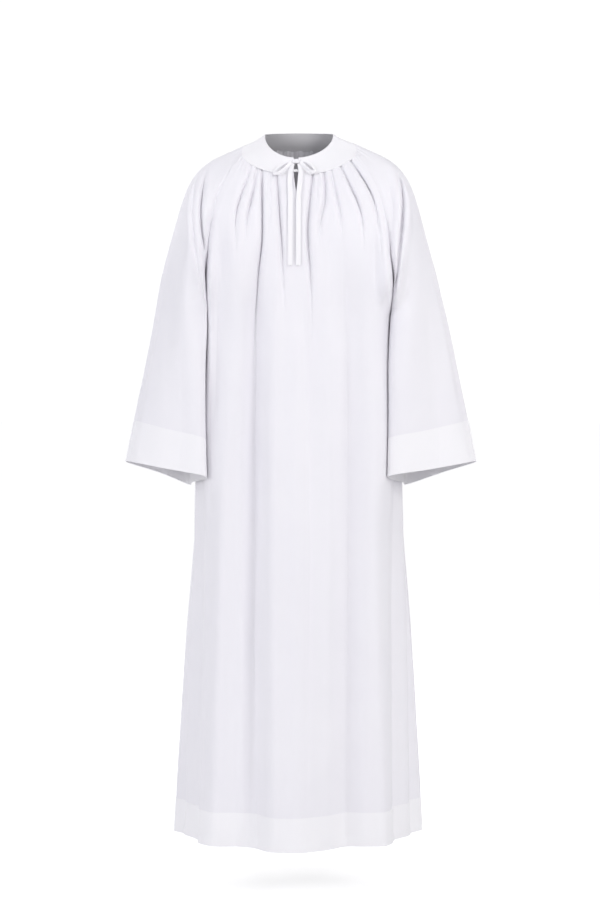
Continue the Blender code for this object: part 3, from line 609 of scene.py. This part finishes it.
def cloth_material(name, colours, threads_per_metre, crumple):
    """White cotton: its weave, the soft crumple left by washing and the short nap at its edges. Its colour
    holds the weave's painted shade between the threads and a random tone.
    """
    material = bpy.data.materials.new(name)
    material.use_nodes = True
    nodes = material.node_tree.nodes
    links = material.node_tree.links
    shader = nodes["Principled BSDF"]
    shader.inputs["Sheen Weight"].default_value = 0.12
    shader.inputs["Sheen Roughness"].default_value = 0.5
    shader.inputs["Specular IOR Level"].default_value = 0.25
    own_map = nodes.new("ShaderNodeUVMap")
    own_map.uv_map = "threads"
    weave = nodes.new("ShaderNodeGroup")
    weave.node_tree = plain_weave
    weave.inputs["Threads per metre"].default_value = threads_per_metre
    links.new(own_map.outputs[0], weave.inputs["Threads"])
    tone = nodes.new("ShaderNodeMix")
    tone.data_type = "RGBA"
    tone.inputs["A"].default_value = (*colours[0], 1)
    tone.inputs["B"].default_value = (*colours[1], 1)
    coordinates = nodes.new("ShaderNodeTexCoord")
    wear = nodes.new("ShaderNodeTexNoise")
    wear.inputs["Scale"].default_value = 7.0
    wear.inputs["Detail"].default_value = 3.0
    links.new(coordinates.outputs["Object"], wear.inputs["Vector"])
    blend = nodes.new("ShaderNodeMath")
    blend.operation = "MULTIPLY_ADD"
    blend.inputs[1].default_value = 0.5
    # The colour mixes the weave's painted shade between the threads with a random tone from the wear noise.
    links.new(weave.outputs["Tone and painted shade"], blend.inputs[0])
    links.new(wear.outputs["Fac"], blend.inputs[2])
    links.new(blend.outputs[0], tone.inputs["Factor"])
    links.new(tone.outputs["Result"], shader.inputs["Base Color"])
    rough = nodes.new("ShaderNodeMapRange")
    rough.inputs["To Min"].default_value = 0.93
    rough.inputs["To Max"].default_value = 0.8
    links.new(weave.outputs["Height"], rough.inputs["Value"])
    links.new(rough.outputs["Result"], shader.inputs["Roughness"])
    crumples = nodes.new("ShaderNodeTexNoise")
    crumples.inputs["Scale"].default_value = 55.0
    crumples.inputs["Detail"].default_value = 3.0
    crumples.inputs["Roughness"].default_value = 0.55
    links.new(coordinates.outputs["Object"], crumples.inputs["Vector"])
    crumple_bump = nodes.new("ShaderNodeBump")
    crumple_bump.inputs["Strength"].default_value = crumple
    crumple_bump.inputs["Distance"].default_value = 0.0012
    links.new(crumples.outputs["Fac"], crumple_bump.inputs["Height"])
    weave_bump = nodes.new("ShaderNodeBump")
    weave_bump.inputs["Strength"].default_value = 0.5
    weave_bump.inputs["Distance"].default_value = 0.00012
    links.new(weave.outputs["Height"], weave_bump.inputs["Height"])
    links.new(crumple_bump.outputs["Normal"], weave_bump.inputs["Normal"])
    links.new(weave_bump.outputs["Normal"], shader.inputs["Normal"])
    return material


white_cotton = cloth_material("white cotton", CLOTH_COLOURS, THREADS_PER_METRE, crumple=0.35)

# One row to each fold: the widths of its two flanks in millimetres, the share of its depth that is a
# narrow slot, and its stations from the top down, each with its drop, place and depth in millimetres.
# A place runs from the wearer's right to left, or from front to back at the sides, and a depth below
# 0 is a raised pleat. The shoulder folds run on into the sleeves, and the side folds into the back.
SHOULDER_FOLDS = (
    (14, 16, 0, (
        (60, -122, 0), (82, -140, -1), (120, -159, -2), (160, -174, -3), (199, -182, -2),
        (238, -187, 0),
    )),
    (6, 6, 0.7, (
        (80, -138, 0), (100, -150, 4), (130, -164, 5), (160, -174, 6), (199, -182, 3), (230, -187, 0),
    )),
    (7, 6, 0.6, (
        (84, -191, 0), (98, -195, 10), (136, -199, 17), (166, -202, 20), (200, -201, 20),
        (246, -196, 18), (280, -191, 12), (330, -190, 0),
    )),
    (7, 7, 0.7, (
        (84, 204, 0), (98, 207, 10), (136, 214, 17), (174, 214, 20), (234, 208, 20), (285, 203, 18),
        (333, 197, 14), (398, 192, 8), (523, 187, 3), (720, 184, 2),
    )),
)
FRONT_FOLDS = SHOULDER_FOLDS + (
    (7, 7, 0.6, (
        (74, -97, 0), (86, -99, 5), (105, -104, 7), (128, -113, 10), (162, -124, 12), (188, -130, 11),
        (215, -129, 7), (265, -128, 0),
    )),
    (6, 6, 0.6, (
        (76, -84, 0), (88, -86, 6), (100, -88, 8), (121, -91, 11), (161, -99, 12), (188, -106, 8),
        (240, -109, 0),
    )),
    (8, 7, 0.7, (
        (82, -76, 0), (92, -76, 9), (105, -76, 15), (140, -76, 18), (200, -75, 18), (241, -75, 17),
        (306, -83, 12), (409, -90, 4), (520, -94, 0),
    )),
    (15, 20, 0, (
        (205, -78, 0), (262, -82, 8), (330, -85, 17), (409, -87, 24), (605, -90, 27), (821, -89, 27),
        (1040, -90, 27), (1365, -87, 24), (1480, -84, 20),
    )),
    (5, 5, 0.6, ((84, -67, 0), (94, -67, 3), (120, -67, 4), (160, -66, 2), (200, -66, 0))),
    (6, 6, 0.5, ((86, -60, 0), (96, -60, 4), (110, -60, 5), (148, -59, 6), (188, -60, 4), (245, -63, 0))),
    (7, 6, 0.65, (
        (86, -46, 0), (96, -46, 8), (108, -45, 11), (148, -42, 13), (195, -39, 14), (241, -35, 13),
        (299, -33, 7), (390, -29, 0),
    )),
    (6, 7, 0.65, (
        (86, 28, 0), (96, 28, 9), (108, 27, 12), (149, 23, 14), (202, 18, 15), (241, 18, 15),
        (287, 22, 11), (346, 25, 6), (450, 26, 0),
    )),
    (6, 6, 0.6, ((82, 39, 0), (92, 39, 4), (115, 38, 5), (150, 36, 3), (190, 35, 0))),
    (6, 6, 0.6, (
        (80, 51, 0), (92, 51, 8), (102, 52, 9), (135, 54, 12), (169, 53, 12), (195, 44, 9),
        (250, 40, 0),
    )),
    (6, 6, 0.55, (
        (76, 64, 0), (88, 66, 5), (98, 67, 7), (121, 71, 8), (155, 79, 9), (189, 85, 7), (235, 88, 0),
    )),
    (6, 7, 0.65, (
        (68, 79, 0), (80, 84, 7), (90, 89, 8), (108, 97, 11), (142, 112, 13), (165, 123, 12),
        (195, 129, 8), (255, 133, 0),
    )),
    (6, 8, 0.65, (
        (52, 98, 0), (62, 103, 8), (70, 107, 10), (83, 114, 13), (111, 133, 16), (144, 150, 15),
        (170, 158, 10), (230, 165, 4), (300, 172, 0),
    )),
    (10, 9, 0.2, (
        (140, 209, 0), (174, 200, 4), (251, 187, 6), (301, 181, 6), (350, 179, 4), (480, 178, 2),
        (700, 182, 0),
    )),
    (16, 20, 0, ((190, 60, 0), (258, 62, 4), (330, 64, 5), (420, 66, 0))),
    (18, 20, 0, (
        (170, -162, 0), (225, -164, 8), (278, -165, 15), (380, -166, 19), (500, -169, 18),
        (620, -174, 14), (760, -180, 6), (860, -182, 0),
    )),
    (18, 22, 0, (
        (240, 90, 0), (330, 94, 10), (451, 97, 15), (605, 99, 18), (821, 99, 17), (1055, 98, 15),
        (1317, 96, 14), (1480, 94, 12),
    )),
    (8, 12, 0.1, (
        (560, 178, 0), (700, 184, 5), (900, 188, 6), (1100, 194, 7), (1300, 198, 7), (1480, 198, 6),
    )),
    (26, 22, 0, (
        (480, -186, 0), (600, -192, 12), (760, -198, 22), (900, -203, 27), (1150, -209, 28),
        (1350, -214, 25), (1480, -218, 21),
    )),
    (14, 24, 0, ((330, 10, 0), (430, 14, 7), (650, 20, 8), (900, 22, 6), (1200, 18, 4), (1480, 14, 4))),
)
SIDE_FOLDS = (
    (18, 22, 0, ((500, 24, 0), (700, 22, 8), (1000, 17, 13), (1300, 12, 15), (1480, 10, 14))),
    (20, 20, 0, ((560, -54, 0), (760, -58, 5), (1050, -64, 8), (1300, -70, 9), (1480, -74, 9))),
    (16, 22, 0, ((620, 78, 0), (820, 84, 6), (1050, 92, 9), (1300, 100, 10), (1480, 106, 10))),
)
front_cloth = outer_cloth("front_panel", CLOTH_WALL)
across, down = lay_grain(front_cloth)
even_out(front_cloth, EVENING)
front_cloth = round_out(front_cloth, 2, finer=2)
fill_out(front_cloth)
fill_armhole(front_cloth)
press_folds(front_cloth, front=FRONT_FOLDS, side=SIDE_FOLDS)
gather(front_cloth, long=0.03, height=0.0012, seed=1.7)
soften(front_cloth)
front_sides = [vert.co.copy() for vert in side_points(front_cloth, across)]
tuck_body(front_cloth, across, down)
front_tree = BVHTree.FromBMesh(front_cloth)
front_piece = finish_piece("front_of_body", front_cloth, CLOTH_THICKNESS, white_cotton)
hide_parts("front_panel")


# Back panel: the same cotton cut on the fold, without a slit, gathered to the yoke behind the neck
# and sewn to the front down both sides. It falls in the same long folds, a little softer.
UNDERARM_DROP = 0.385
SIDE_EASE = 0.05
BACK_FOLDS = (
    (7, 8, 0.5, (
        (28, -92, 0), (44, -95, 5), (90, -112, 8), (150, -134, 9), (220, -146, 6), (330, -152, 3),
        (480, -156, 0),
    )),
    (7, 6, 0.5, ((34, -72, 0), (50, -74, 5), (95, -82, 8), (150, -88, 8), (230, -92, 4), (310, -95, 0))),
    (8, 7, 0.6, ((36, -46, 0), (52, -48, 7), (110, -52, 12), (200, -56, 12), (350, -64, 6), (480, -70, 0))),
    (24, 20, 0, (
        (200, -56, 0), (350, -64, 7), (600, -72, 10), (900, -78, 9), (1200, -84, 9), (1480, -88, 8),
    )),
    (6, 7, 0.6, ((38, -24, 0), (54, -24, 5), (100, -26, 8), (170, -24, 9), (260, -20, 4), (350, -18, 0))),
    (6, 6, 0.5, ((38, 2, 0), (54, 2, 4), (110, 4, 6), (180, 2, 5), (250, 0, 0))),
    (7, 6, 0.6, ((38, 26, 0), (54, 27, 6), (105, 28, 9), (180, 31, 9), (270, 35, 4), (380, 38, 0))),
    (8, 8, 0.6, ((36, 48, 0), (52, 50, 6), (110, 56, 11), (210, 62, 11), (360, 68, 5), (480, 72, 0))),
    (20, 26, 0, ((210, 62, 0), (360, 68, 7), (620, 74, 9), (900, 82, 8), (1200, 90, 8), (1480, 96, 7))),
    (6, 7, 0.5, ((34, 73, 0), (50, 75, 4), (95, 84, 7), (150, 92, 8), (225, 97, 4), (300, 101, 0))),
    (8, 7, 0.5, (
        (28, 91, 0), (44, 95, 6), (90, 114, 9), (150, 135, 9), (220, 147, 6), (330, 153, 3),
        (470, 158, 0),
    )),
    (26, 30, 0, ((330, -10, 0), (470, -6, 4), (700, 2, 6), (1000, 6, 6), (1300, 4, 6), (1480, 2, 5))),
    (24, 20, 0, ((520, -150, 0), (720, -160, 6), (950, -168, 8), (1250, -178, 9), (1480, -186, 8))),
    (18, 24, 0, ((480, 150, 0), (700, 158, 7), (950, 170, 8), (1250, 180, 9), (1480, 188, 8))),
)
back_cloth = outer_cloth("back_panel", CLOTH_WALL)
across, down = lay_grain(back_cloth)
even_out(back_cloth, EVENING)
back_cloth = round_out(back_cloth, 2, finer=2)
fill_out(back_cloth)
press_folds(back_cloth, back=BACK_FOLDS, side=SIDE_FOLDS)
gather(back_cloth, long=0.03, height=0.0012, seed=5.2)
soften(back_cloth)
side_seam = [vert for vert in side_points(back_cloth, across) if -vert.co.z > UNDERARM_DROP]
meet_seam(back_cloth, side_seam, front_sides, SIDE_EASE)
back_sides = [vert.co.copy() for vert in side_points(back_cloth, across)]
tuck_body(back_cloth, across, down)
back_tree = BVHTree.FromBMesh(back_cloth)
back_piece = finish_piece("back_of_body", back_cloth, CLOTH_THICKNESS, white_cotton)
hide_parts("back_panel")


# Hem: the bottom of the body is turned up in one deep band of double cloth and stitched down along
# its top edge. Two thicknesses let less light through, so the band looks whiter than the body.
DOUBLE_WALL = 0.0024
BAND_THICKNESS = 0.0016
BAND_PROUD = 0.00035
BAND_COLOURS = ((0.895, 0.888, 0.912), (0.935, 0.928, 0.945))
# Thread colours: the darker one is painted shade in the grooves of the twist, the lighter one is its ridges.
THREAD_COLOURS_WITH_PAINTED_SHADE = ((0.86, 0.86, 0.87), (0.93, 0.93, 0.93))
STITCH_INSET = 0.0018
STITCH_PITCH = 0.0028
STITCH_HALF = (0.00115, 0.00028, 0.0002)

white_double = cloth_material("white double cotton", BAND_COLOURS, THREADS_PER_METRE, crumple=0.25)


def thread_material():
    """White sewing thread: smoother than the cloth, with the fine slant of its twist, and painted shade that
    is darker in the grooves of the twist.
    """
    material = bpy.data.materials.new("white sewing thread")
    material.use_nodes = True
    nodes = material.node_tree.nodes
    links = material.node_tree.links
    shader = nodes["Principled BSDF"]
    shader.inputs["Sheen Weight"].default_value = 0.2
    coordinates = nodes.new("ShaderNodeTexCoord")
    twist = nodes.new("ShaderNodeTexWave")
    twist.bands_direction = "DIAGONAL"
    twist.inputs["Scale"].default_value = 900.0
    twist.inputs["Distortion"].default_value = 1.5
    twist.inputs["Detail"].default_value = 2.0
    links.new(coordinates.outputs["Object"], twist.inputs["Vector"])
    # Painted shade: the thread is coloured darker in the grooves of its twist and lighter on its ridges.
    tone = nodes.new("ShaderNodeMix")
    tone.data_type = "RGBA"
    tone.inputs["A"].default_value = (*THREAD_COLOURS_WITH_PAINTED_SHADE[0], 1)
    tone.inputs["B"].default_value = (*THREAD_COLOURS_WITH_PAINTED_SHADE[1], 1)
    links.new(twist.outputs["Fac"], tone.inputs["Factor"])
    links.new(tone.outputs["Result"], shader.inputs["Base Color"])
    rough = nodes.new("ShaderNodeMapRange")
    rough.inputs["To Min"].default_value = 0.75
    rough.inputs["To Max"].default_value = 0.5
    links.new(twist.outputs["Fac"], rough.inputs["Value"])
    links.new(rough.outputs["Result"], shader.inputs["Roughness"])
    bump = nodes.new("ShaderNodeBump")
    bump.inputs["Strength"].default_value = 0.5
    bump.inputs["Distance"].default_value = 0.0001
    links.new(twist.outputs["Fac"], bump.inputs["Height"])
    links.new(bump.outputs["Normal"], shader.inputs["Normal"])
    return material


white_thread = thread_material()


def raise_band(cloth, height):
    """Lifts a turned-up band a little off the face of the single cloth."""
    cloth.normal_update()
    moves = {vert: vert.normal * height for vert in cloth.verts}
    for vert, move in moves.items():
        vert.co += move


def row_points(cloth, row, inset):
    """Points along one edge of a piece, moved in from it, with the way along and the way out of the cloth."""
    places = cloth.loops.layers.uv["places"]
    cloth.normal_update()
    found = {}
    for vert in cloth.verts:
        for loop in vert.link_loops:
            place = loop[places].uv
            if abs(place.y - row) < 1e-3 and vert.is_boundary:
                inner = [edge.other_vert(vert) for edge in vert.link_edges if not edge.is_boundary]
                if inner:
                    way = (inner[0].co - vert.co).normalized()
                    found[round(place.x, 3)] = (vert.co + way * inset, vert.normal.copy())
    return [found[key] for key in sorted(found)]


def sew(name, lines):
    """Rows of machine stitches: short pads of thread, end to end, each row following its line."""
    thread = bmesh.new()
    for line in lines:
        run = STITCH_PITCH / 2
        for (start, out), (end, _) in zip(line, line[1:]):
            length = (end - start).length
            while length > 1e-6 and run < length:
                along = (end - start).normalized()
                aside = out.cross(along).normalized()
                turn = Matrix((along, aside, along.cross(aside))).transposed().to_4x4()
                middle = Matrix.Translation(start.lerp(end, run / length))
                place = middle @ turn @ Matrix.Diagonal((*STITCH_HALF, 1))
                bmesh.ops.create_icosphere(thread, subdivisions=1, radius=1, matrix=place)
                run += STITCH_PITCH
            run -= length
    return finish_piece(name, thread, 0, white_thread)


for side_name, folds in (("front", FRONT_FOLDS), ("back", BACK_FOLDS)):
    hem_cloth = outer_cloth("hem_" + side_name, DOUBLE_WALL)
    across, _ = lay_grain(hem_cloth)
    even_out(hem_cloth, EVENING)
    hem_cloth = round_out(hem_cloth, 2, finer=2)
    press_folds(hem_cloth, **{side_name: folds}, side=SIDE_FOLDS)
    soften(hem_cloth)
    hem_sides = side_points(hem_cloth, across)
    if side_name == "back":
        meet_seam(hem_cloth, hem_sides, front_hem_sides, SIDE_EASE)
    front_hem_sides = [vert.co.copy() for vert in hem_sides]
    raise_band(hem_cloth, BAND_PROUD)
    stitch_line = row_points(hem_cloth, 0, STITCH_INSET)
    hem_piece = finish_piece(
        side_name + "_hem_band", hem_cloth, BAND_THICKNESS, white_double
    )
    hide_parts("hem_" + side_name)
    hem_stitches = sew(side_name + "_hem_stitches", [stitch_line])


# Sleeves: wide raglan sleeves, each one piece of the same cotton with one seam under the arm. They
# are gathered into the yoke at the shoulder and hang open at the wrist.
SLEEVE_EVENING = 0.5
SLEEVE_INWARD = 0.008
SLEEVE_FORWARD = 0.022
SLEEVE_CLEARANCE = 0.003
LAY_DROPS = {-1: (0.27, 0.37), 1: (0.31, 0.39)}
LAY_ACROSS = (0.2, 0.27)
LAY_FRONT = (0.02, 0.08)
CLEAR_DROPS = (0.375, 0.42)
CLEAR_REACH = 0.05
RAGLAN_EASE = 0.03
RIM_SLANT = 0.03
SLEEVE_FOLDS = SHOULDER_FOLDS + (
    (9, 9, 0.2, (
        (86, -212, 0), (109, -217, 7), (164, -219, 12), (210, -217, 13), (263, -211, 12),
        (338, -205, 8), (441, -201, 0),
    )),
    (17, 15, 0, (
        (130, -246, 0), (180, -252, 6), (240, -257, 11), (300, -262, 12), (380, -268, 9),
        (480, -276, 0),
    )),
    (26, 10, 0, ((290, -198, 0), (340, -199, 5), (400, -201, 7), (480, -201, 4), (560, -201, 0))),
    (22, 26, 0, (
        (300, -236, 0), (420, -244, 4), (482, -243, 6), (564, -242, 6), (646, -244, 5), (730, -246, 4),
    )),
    (8, 8, 0.3, ((88, 180, 0), (119, 186, 5), (160, 192, 7), (203, 192, 6), (251, 187, 5), (301, 182, 3))),
    (20, 22, 0, ((240, 250, 0), (340, 262, 4), (450, 272, 6), (600, 284, 6), (720, 292, 5))),
)
SLEEVE_BACK_FOLDS = (
    (9, 8, 0.3, (
        (80, -194, 0), (150, -204, 7), (240, -206, 8), (360, -202, 6), (560, -204, 4), (720, -206, 3),
    )),
    (18, 20, 0, ((240, -240, 0), (360, -256, 5), (520, -274, 7), (720, -292, 6))),
    (9, 8, 0.3, ((80, 194, 0), (150, 204, 7), (240, 206, 8), (360, 202, 6), (560, 204, 4), (720, 206, 3))),
    (18, 20, 0, ((240, 242, 0), (360, 258, 5), (520, 276, 7), (720, 292, 6))),
)
SLEEVE_SIDE_FOLDS = (
    (12, 14, 0, ((120, -20, 0), (180, -22, 4), (300, -24, 6), (450, -26, 6), (600, -30, 5), (720, -32, 4))),
    (14, 14, 0, ((200, 34, 0), (300, 38, 5), (450, 42, 6), (620, 46, 6), (720, 48, 5))),
)


def straight_seam(start, edge):
    """The edges met by going straight on from one edge to the far rim."""
    seam = [edge]
    vert = edge.other_vert(start)
    while not vert.is_boundary:
        faces = set(edge.link_faces)
        edge = next(near for near in vert.link_edges if not faces.intersection(near.link_faces))
        seam.append(edge)
        vert = edge.other_vert(vert)
    return set(seam)


def underarm_seam(cloth):
    """The seam that runs down from the point where the two raglan edges meet."""
    start = next(vert for vert in cloth.verts if vert.is_boundary and len(vert.link_edges) == 5)
    rims = {face for edge in start.link_edges if edge.is_boundary for face in edge.link_faces}
    down = next(edge for edge in start.link_edges if not rims.intersection(edge.link_faces))
    return straight_seam(start, down)


def inner_seam(cloth):
    """The seam of a closed band, on the side next to the body."""
    top = max(vert.co.z for vert in cloth.verts if vert.is_boundary)
    uppers = [vert for vert in cloth.verts if vert.is_boundary and vert.co.z > top - RIM_SLANT]
    start = min(uppers, key=lambda vert: abs(vert.co.x))
    down = next(edge for edge in start.link_edges if not edge.is_boundary)
    return straight_seam(start, down)


def lay_on_body(cloth):
    """Hangs the sleeve's front edge forward over the side of the body, and keeps it clear of it."""
    for vert in cloth.verts:
        spot = vert.co
        level = np.interp(-spot.z, LAY_DROPS[1 if spot.x > 0 else -1], (0, 1))
        inner = ease(np.interp(abs(spot.x), LAY_ACROSS, (1, 0)))
        front = ease(np.interp(-spot.y, LAY_FRONT, (0, 1)))
        share = level * inner * front
        spot.x -= math.copysign(SLEEVE_INWARD * share, spot.x)
        spot.y -= SLEEVE_FORWARD * share
    for _ in range(2):
        for vert in cloth.verts:
            hold = np.interp(-vert.co.z, CLEAR_DROPS, (0, 1))
            hits = [tree.find_nearest(vert.co, CLEAR_REACH) for tree in (front_tree, back_tree)]
            hits = [hit for hit in hits if hit[0] is not None]
            if hold > 0 and hits:
                place, out, _, _ = min(hits, key=lambda hit: hit[3])
                clear = (vert.co - place).dot(out)
                if clear < SLEEVE_CLEARANCE:
                    vert.co += out * (SLEEVE_CLEARANCE - clear) * hold


for side_name in ("left", "right"):
    sleeve_cloth = outer_cloth("sleeve_" + side_name, CLOTH_WALL)
    _, down = lay_grain(sleeve_cloth, underarm_seam(sleeve_cloth))
    even_out(sleeve_cloth, SLEEVE_EVENING)
    sleeve_cloth = round_out(sleeve_cloth, 3)
    fill_armhole(sleeve_cloth)
    press_folds(sleeve_cloth, front=SLEEVE_FOLDS, back=SLEEVE_BACK_FOLDS, side=SLEEVE_SIDE_FOLDS)
    gather(sleeve_cloth, long=0.025, height=0.001, seed=8.4)
    soften(sleeve_cloth)
    lay_on_body(sleeve_cloth)
    raglan = edge_points(sleeve_cloth, lambda place: not at_end(place.y, down))
    meet_seam(sleeve_cloth, raglan, front_sides + back_sides, RAGLAN_EASE)
    tuck_edges(sleeve_cloth, *TUCK_IN, lambda place: at_end(place.y, down))
    sleeve_piece = finish_piece(
        "sleeve_cloth_" + side_name, sleeve_cloth, CLOTH_THICKNESS, white_cotton
    )
    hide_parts("sleeve_" + side_name)


# Cuffs: the end of each sleeve is turned up in a deep band of double cloth and stitched down, so
# the wide mouth stands open and its band looks whiter than the sleeve.
for side_name in ("left", "right"):
    cuff_cloth = outer_cloth("cuff_" + side_name, DOUBLE_WALL)
    lay_grain(cuff_cloth, inner_seam(cuff_cloth))
    even_out(cuff_cloth, SLEEVE_EVENING)
    cuff_cloth = round_out(cuff_cloth, 3)
    press_folds(cuff_cloth, front=SLEEVE_FOLDS, back=SLEEVE_BACK_FOLDS, side=SLEEVE_SIDE_FOLDS)
    soften(cuff_cloth)
    lay_on_body(cuff_cloth)
    raise_band(cuff_cloth, BAND_PROUD)
    stitch_line = row_points(cuff_cloth, 0, STITCH_INSET)
    cuff_piece = finish_piece(
        "cuff_band_" + side_name, cuff_cloth, BAND_THICKNESS, white_double
    )
    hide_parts("cuff_" + side_name)
    cuff_stitches = sew("cuff_stitches_" + side_name, [stitch_line])


# Yoke: a flat round neck band of double cloth that carries the whole robe. The gathers are caught
# between its two layers and it is stitched close to both edges.
YOKE_PROUD = 0.0004
YOKE_STITCH_INSET = 0.002
yoke_cloth = outer_cloth("neck_yoke", DOUBLE_WALL)
lay_grain(yoke_cloth)
yoke_cloth = round_out(yoke_cloth, 2)
raise_band(yoke_cloth, YOKE_PROUD)
yoke_lines = [row_points(yoke_cloth, row, YOKE_STITCH_INSET) for row in (0, 2)]
yoke_piece = finish_piece("yoke_band", yoke_cloth, BAND_THICKNESS, white_double)
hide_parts("neck_yoke")
yoke_stitches = sew("yoke_stitches", yoke_lines)


# Tie: a narrow strip of the same cotton, folded and sewn into a flat tape, tied in a small bow at
# the neck with its two ends hanging. A short worked bar closes the slit just below the yoke.
TIE_CUTS = {
    "tie_end_left": (0.0115, 0.2),
    "tie_end_right": (0.0115, 0.2),
    "tie_loop_left": (0.011, 0.075),
    "tie_loop_right": (0.011, 0.075),
}
TIE_SPREADS = {"tie_end_left": 0.0052, "tie_end_right": -0.0036}
TIE_SPREAD_DROPS = (0.066, 0.094, 0.15)
PAIRING_ANGLE = math.radians(50)
tie_cotton = cloth_material("white tie cotton", BAND_COLOURS, THREADS_PER_METRE, crumple=0.15)


def round_solid(node):
    """A merged copy of a small closed node, its triangles joined in pairs and rounded."""
    solid = bmesh.new()
    solid.from_mesh(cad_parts[node].data)
    bmesh.ops.remove_doubles(solid, verts=solid.verts, dist=WELD)
    bmesh.ops.join_triangles(
        solid,
        faces=solid.faces[:],
        angle_face_threshold=PAIRING_ANGLE,
        angle_shape_threshold=PAIRING_ANGLE,
        topology_influence=1.0,
    )
    bmesh.ops.recalc_face_normals(solid, faces=solid.faces[:])
    solid.loops.layers.uv.new("places")
    threads = solid.loops.layers.uv.new("threads")
    for face in solid.faces:
        for loop in face.loops:
            loop[threads].uv = (loop.vert.co.x, loop.vert.co.z)
    return round_out(solid, 2)


for node, cut in TIE_CUTS.items():
    tie = round_solid(node)
    if node in TIE_SPREADS:
        for vert in tie.verts:
            vert.co.x += TIE_SPREADS[node] * np.interp(-vert.co.z, TIE_SPREAD_DROPS, (0, 1, 0))
    tie_piece = finish_piece(node.replace("tie", "bow"), tie, 0, tie_cotton)
    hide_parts(node)
knot_piece = finish_piece("bow_knot", round_solid("tie_knot"), 0, tie_cotton)
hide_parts("tie_knot")
bar_piece = finish_piece("slit_bar", round_solid("neck_bar"), 0, white_thread)
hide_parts("neck_bar")
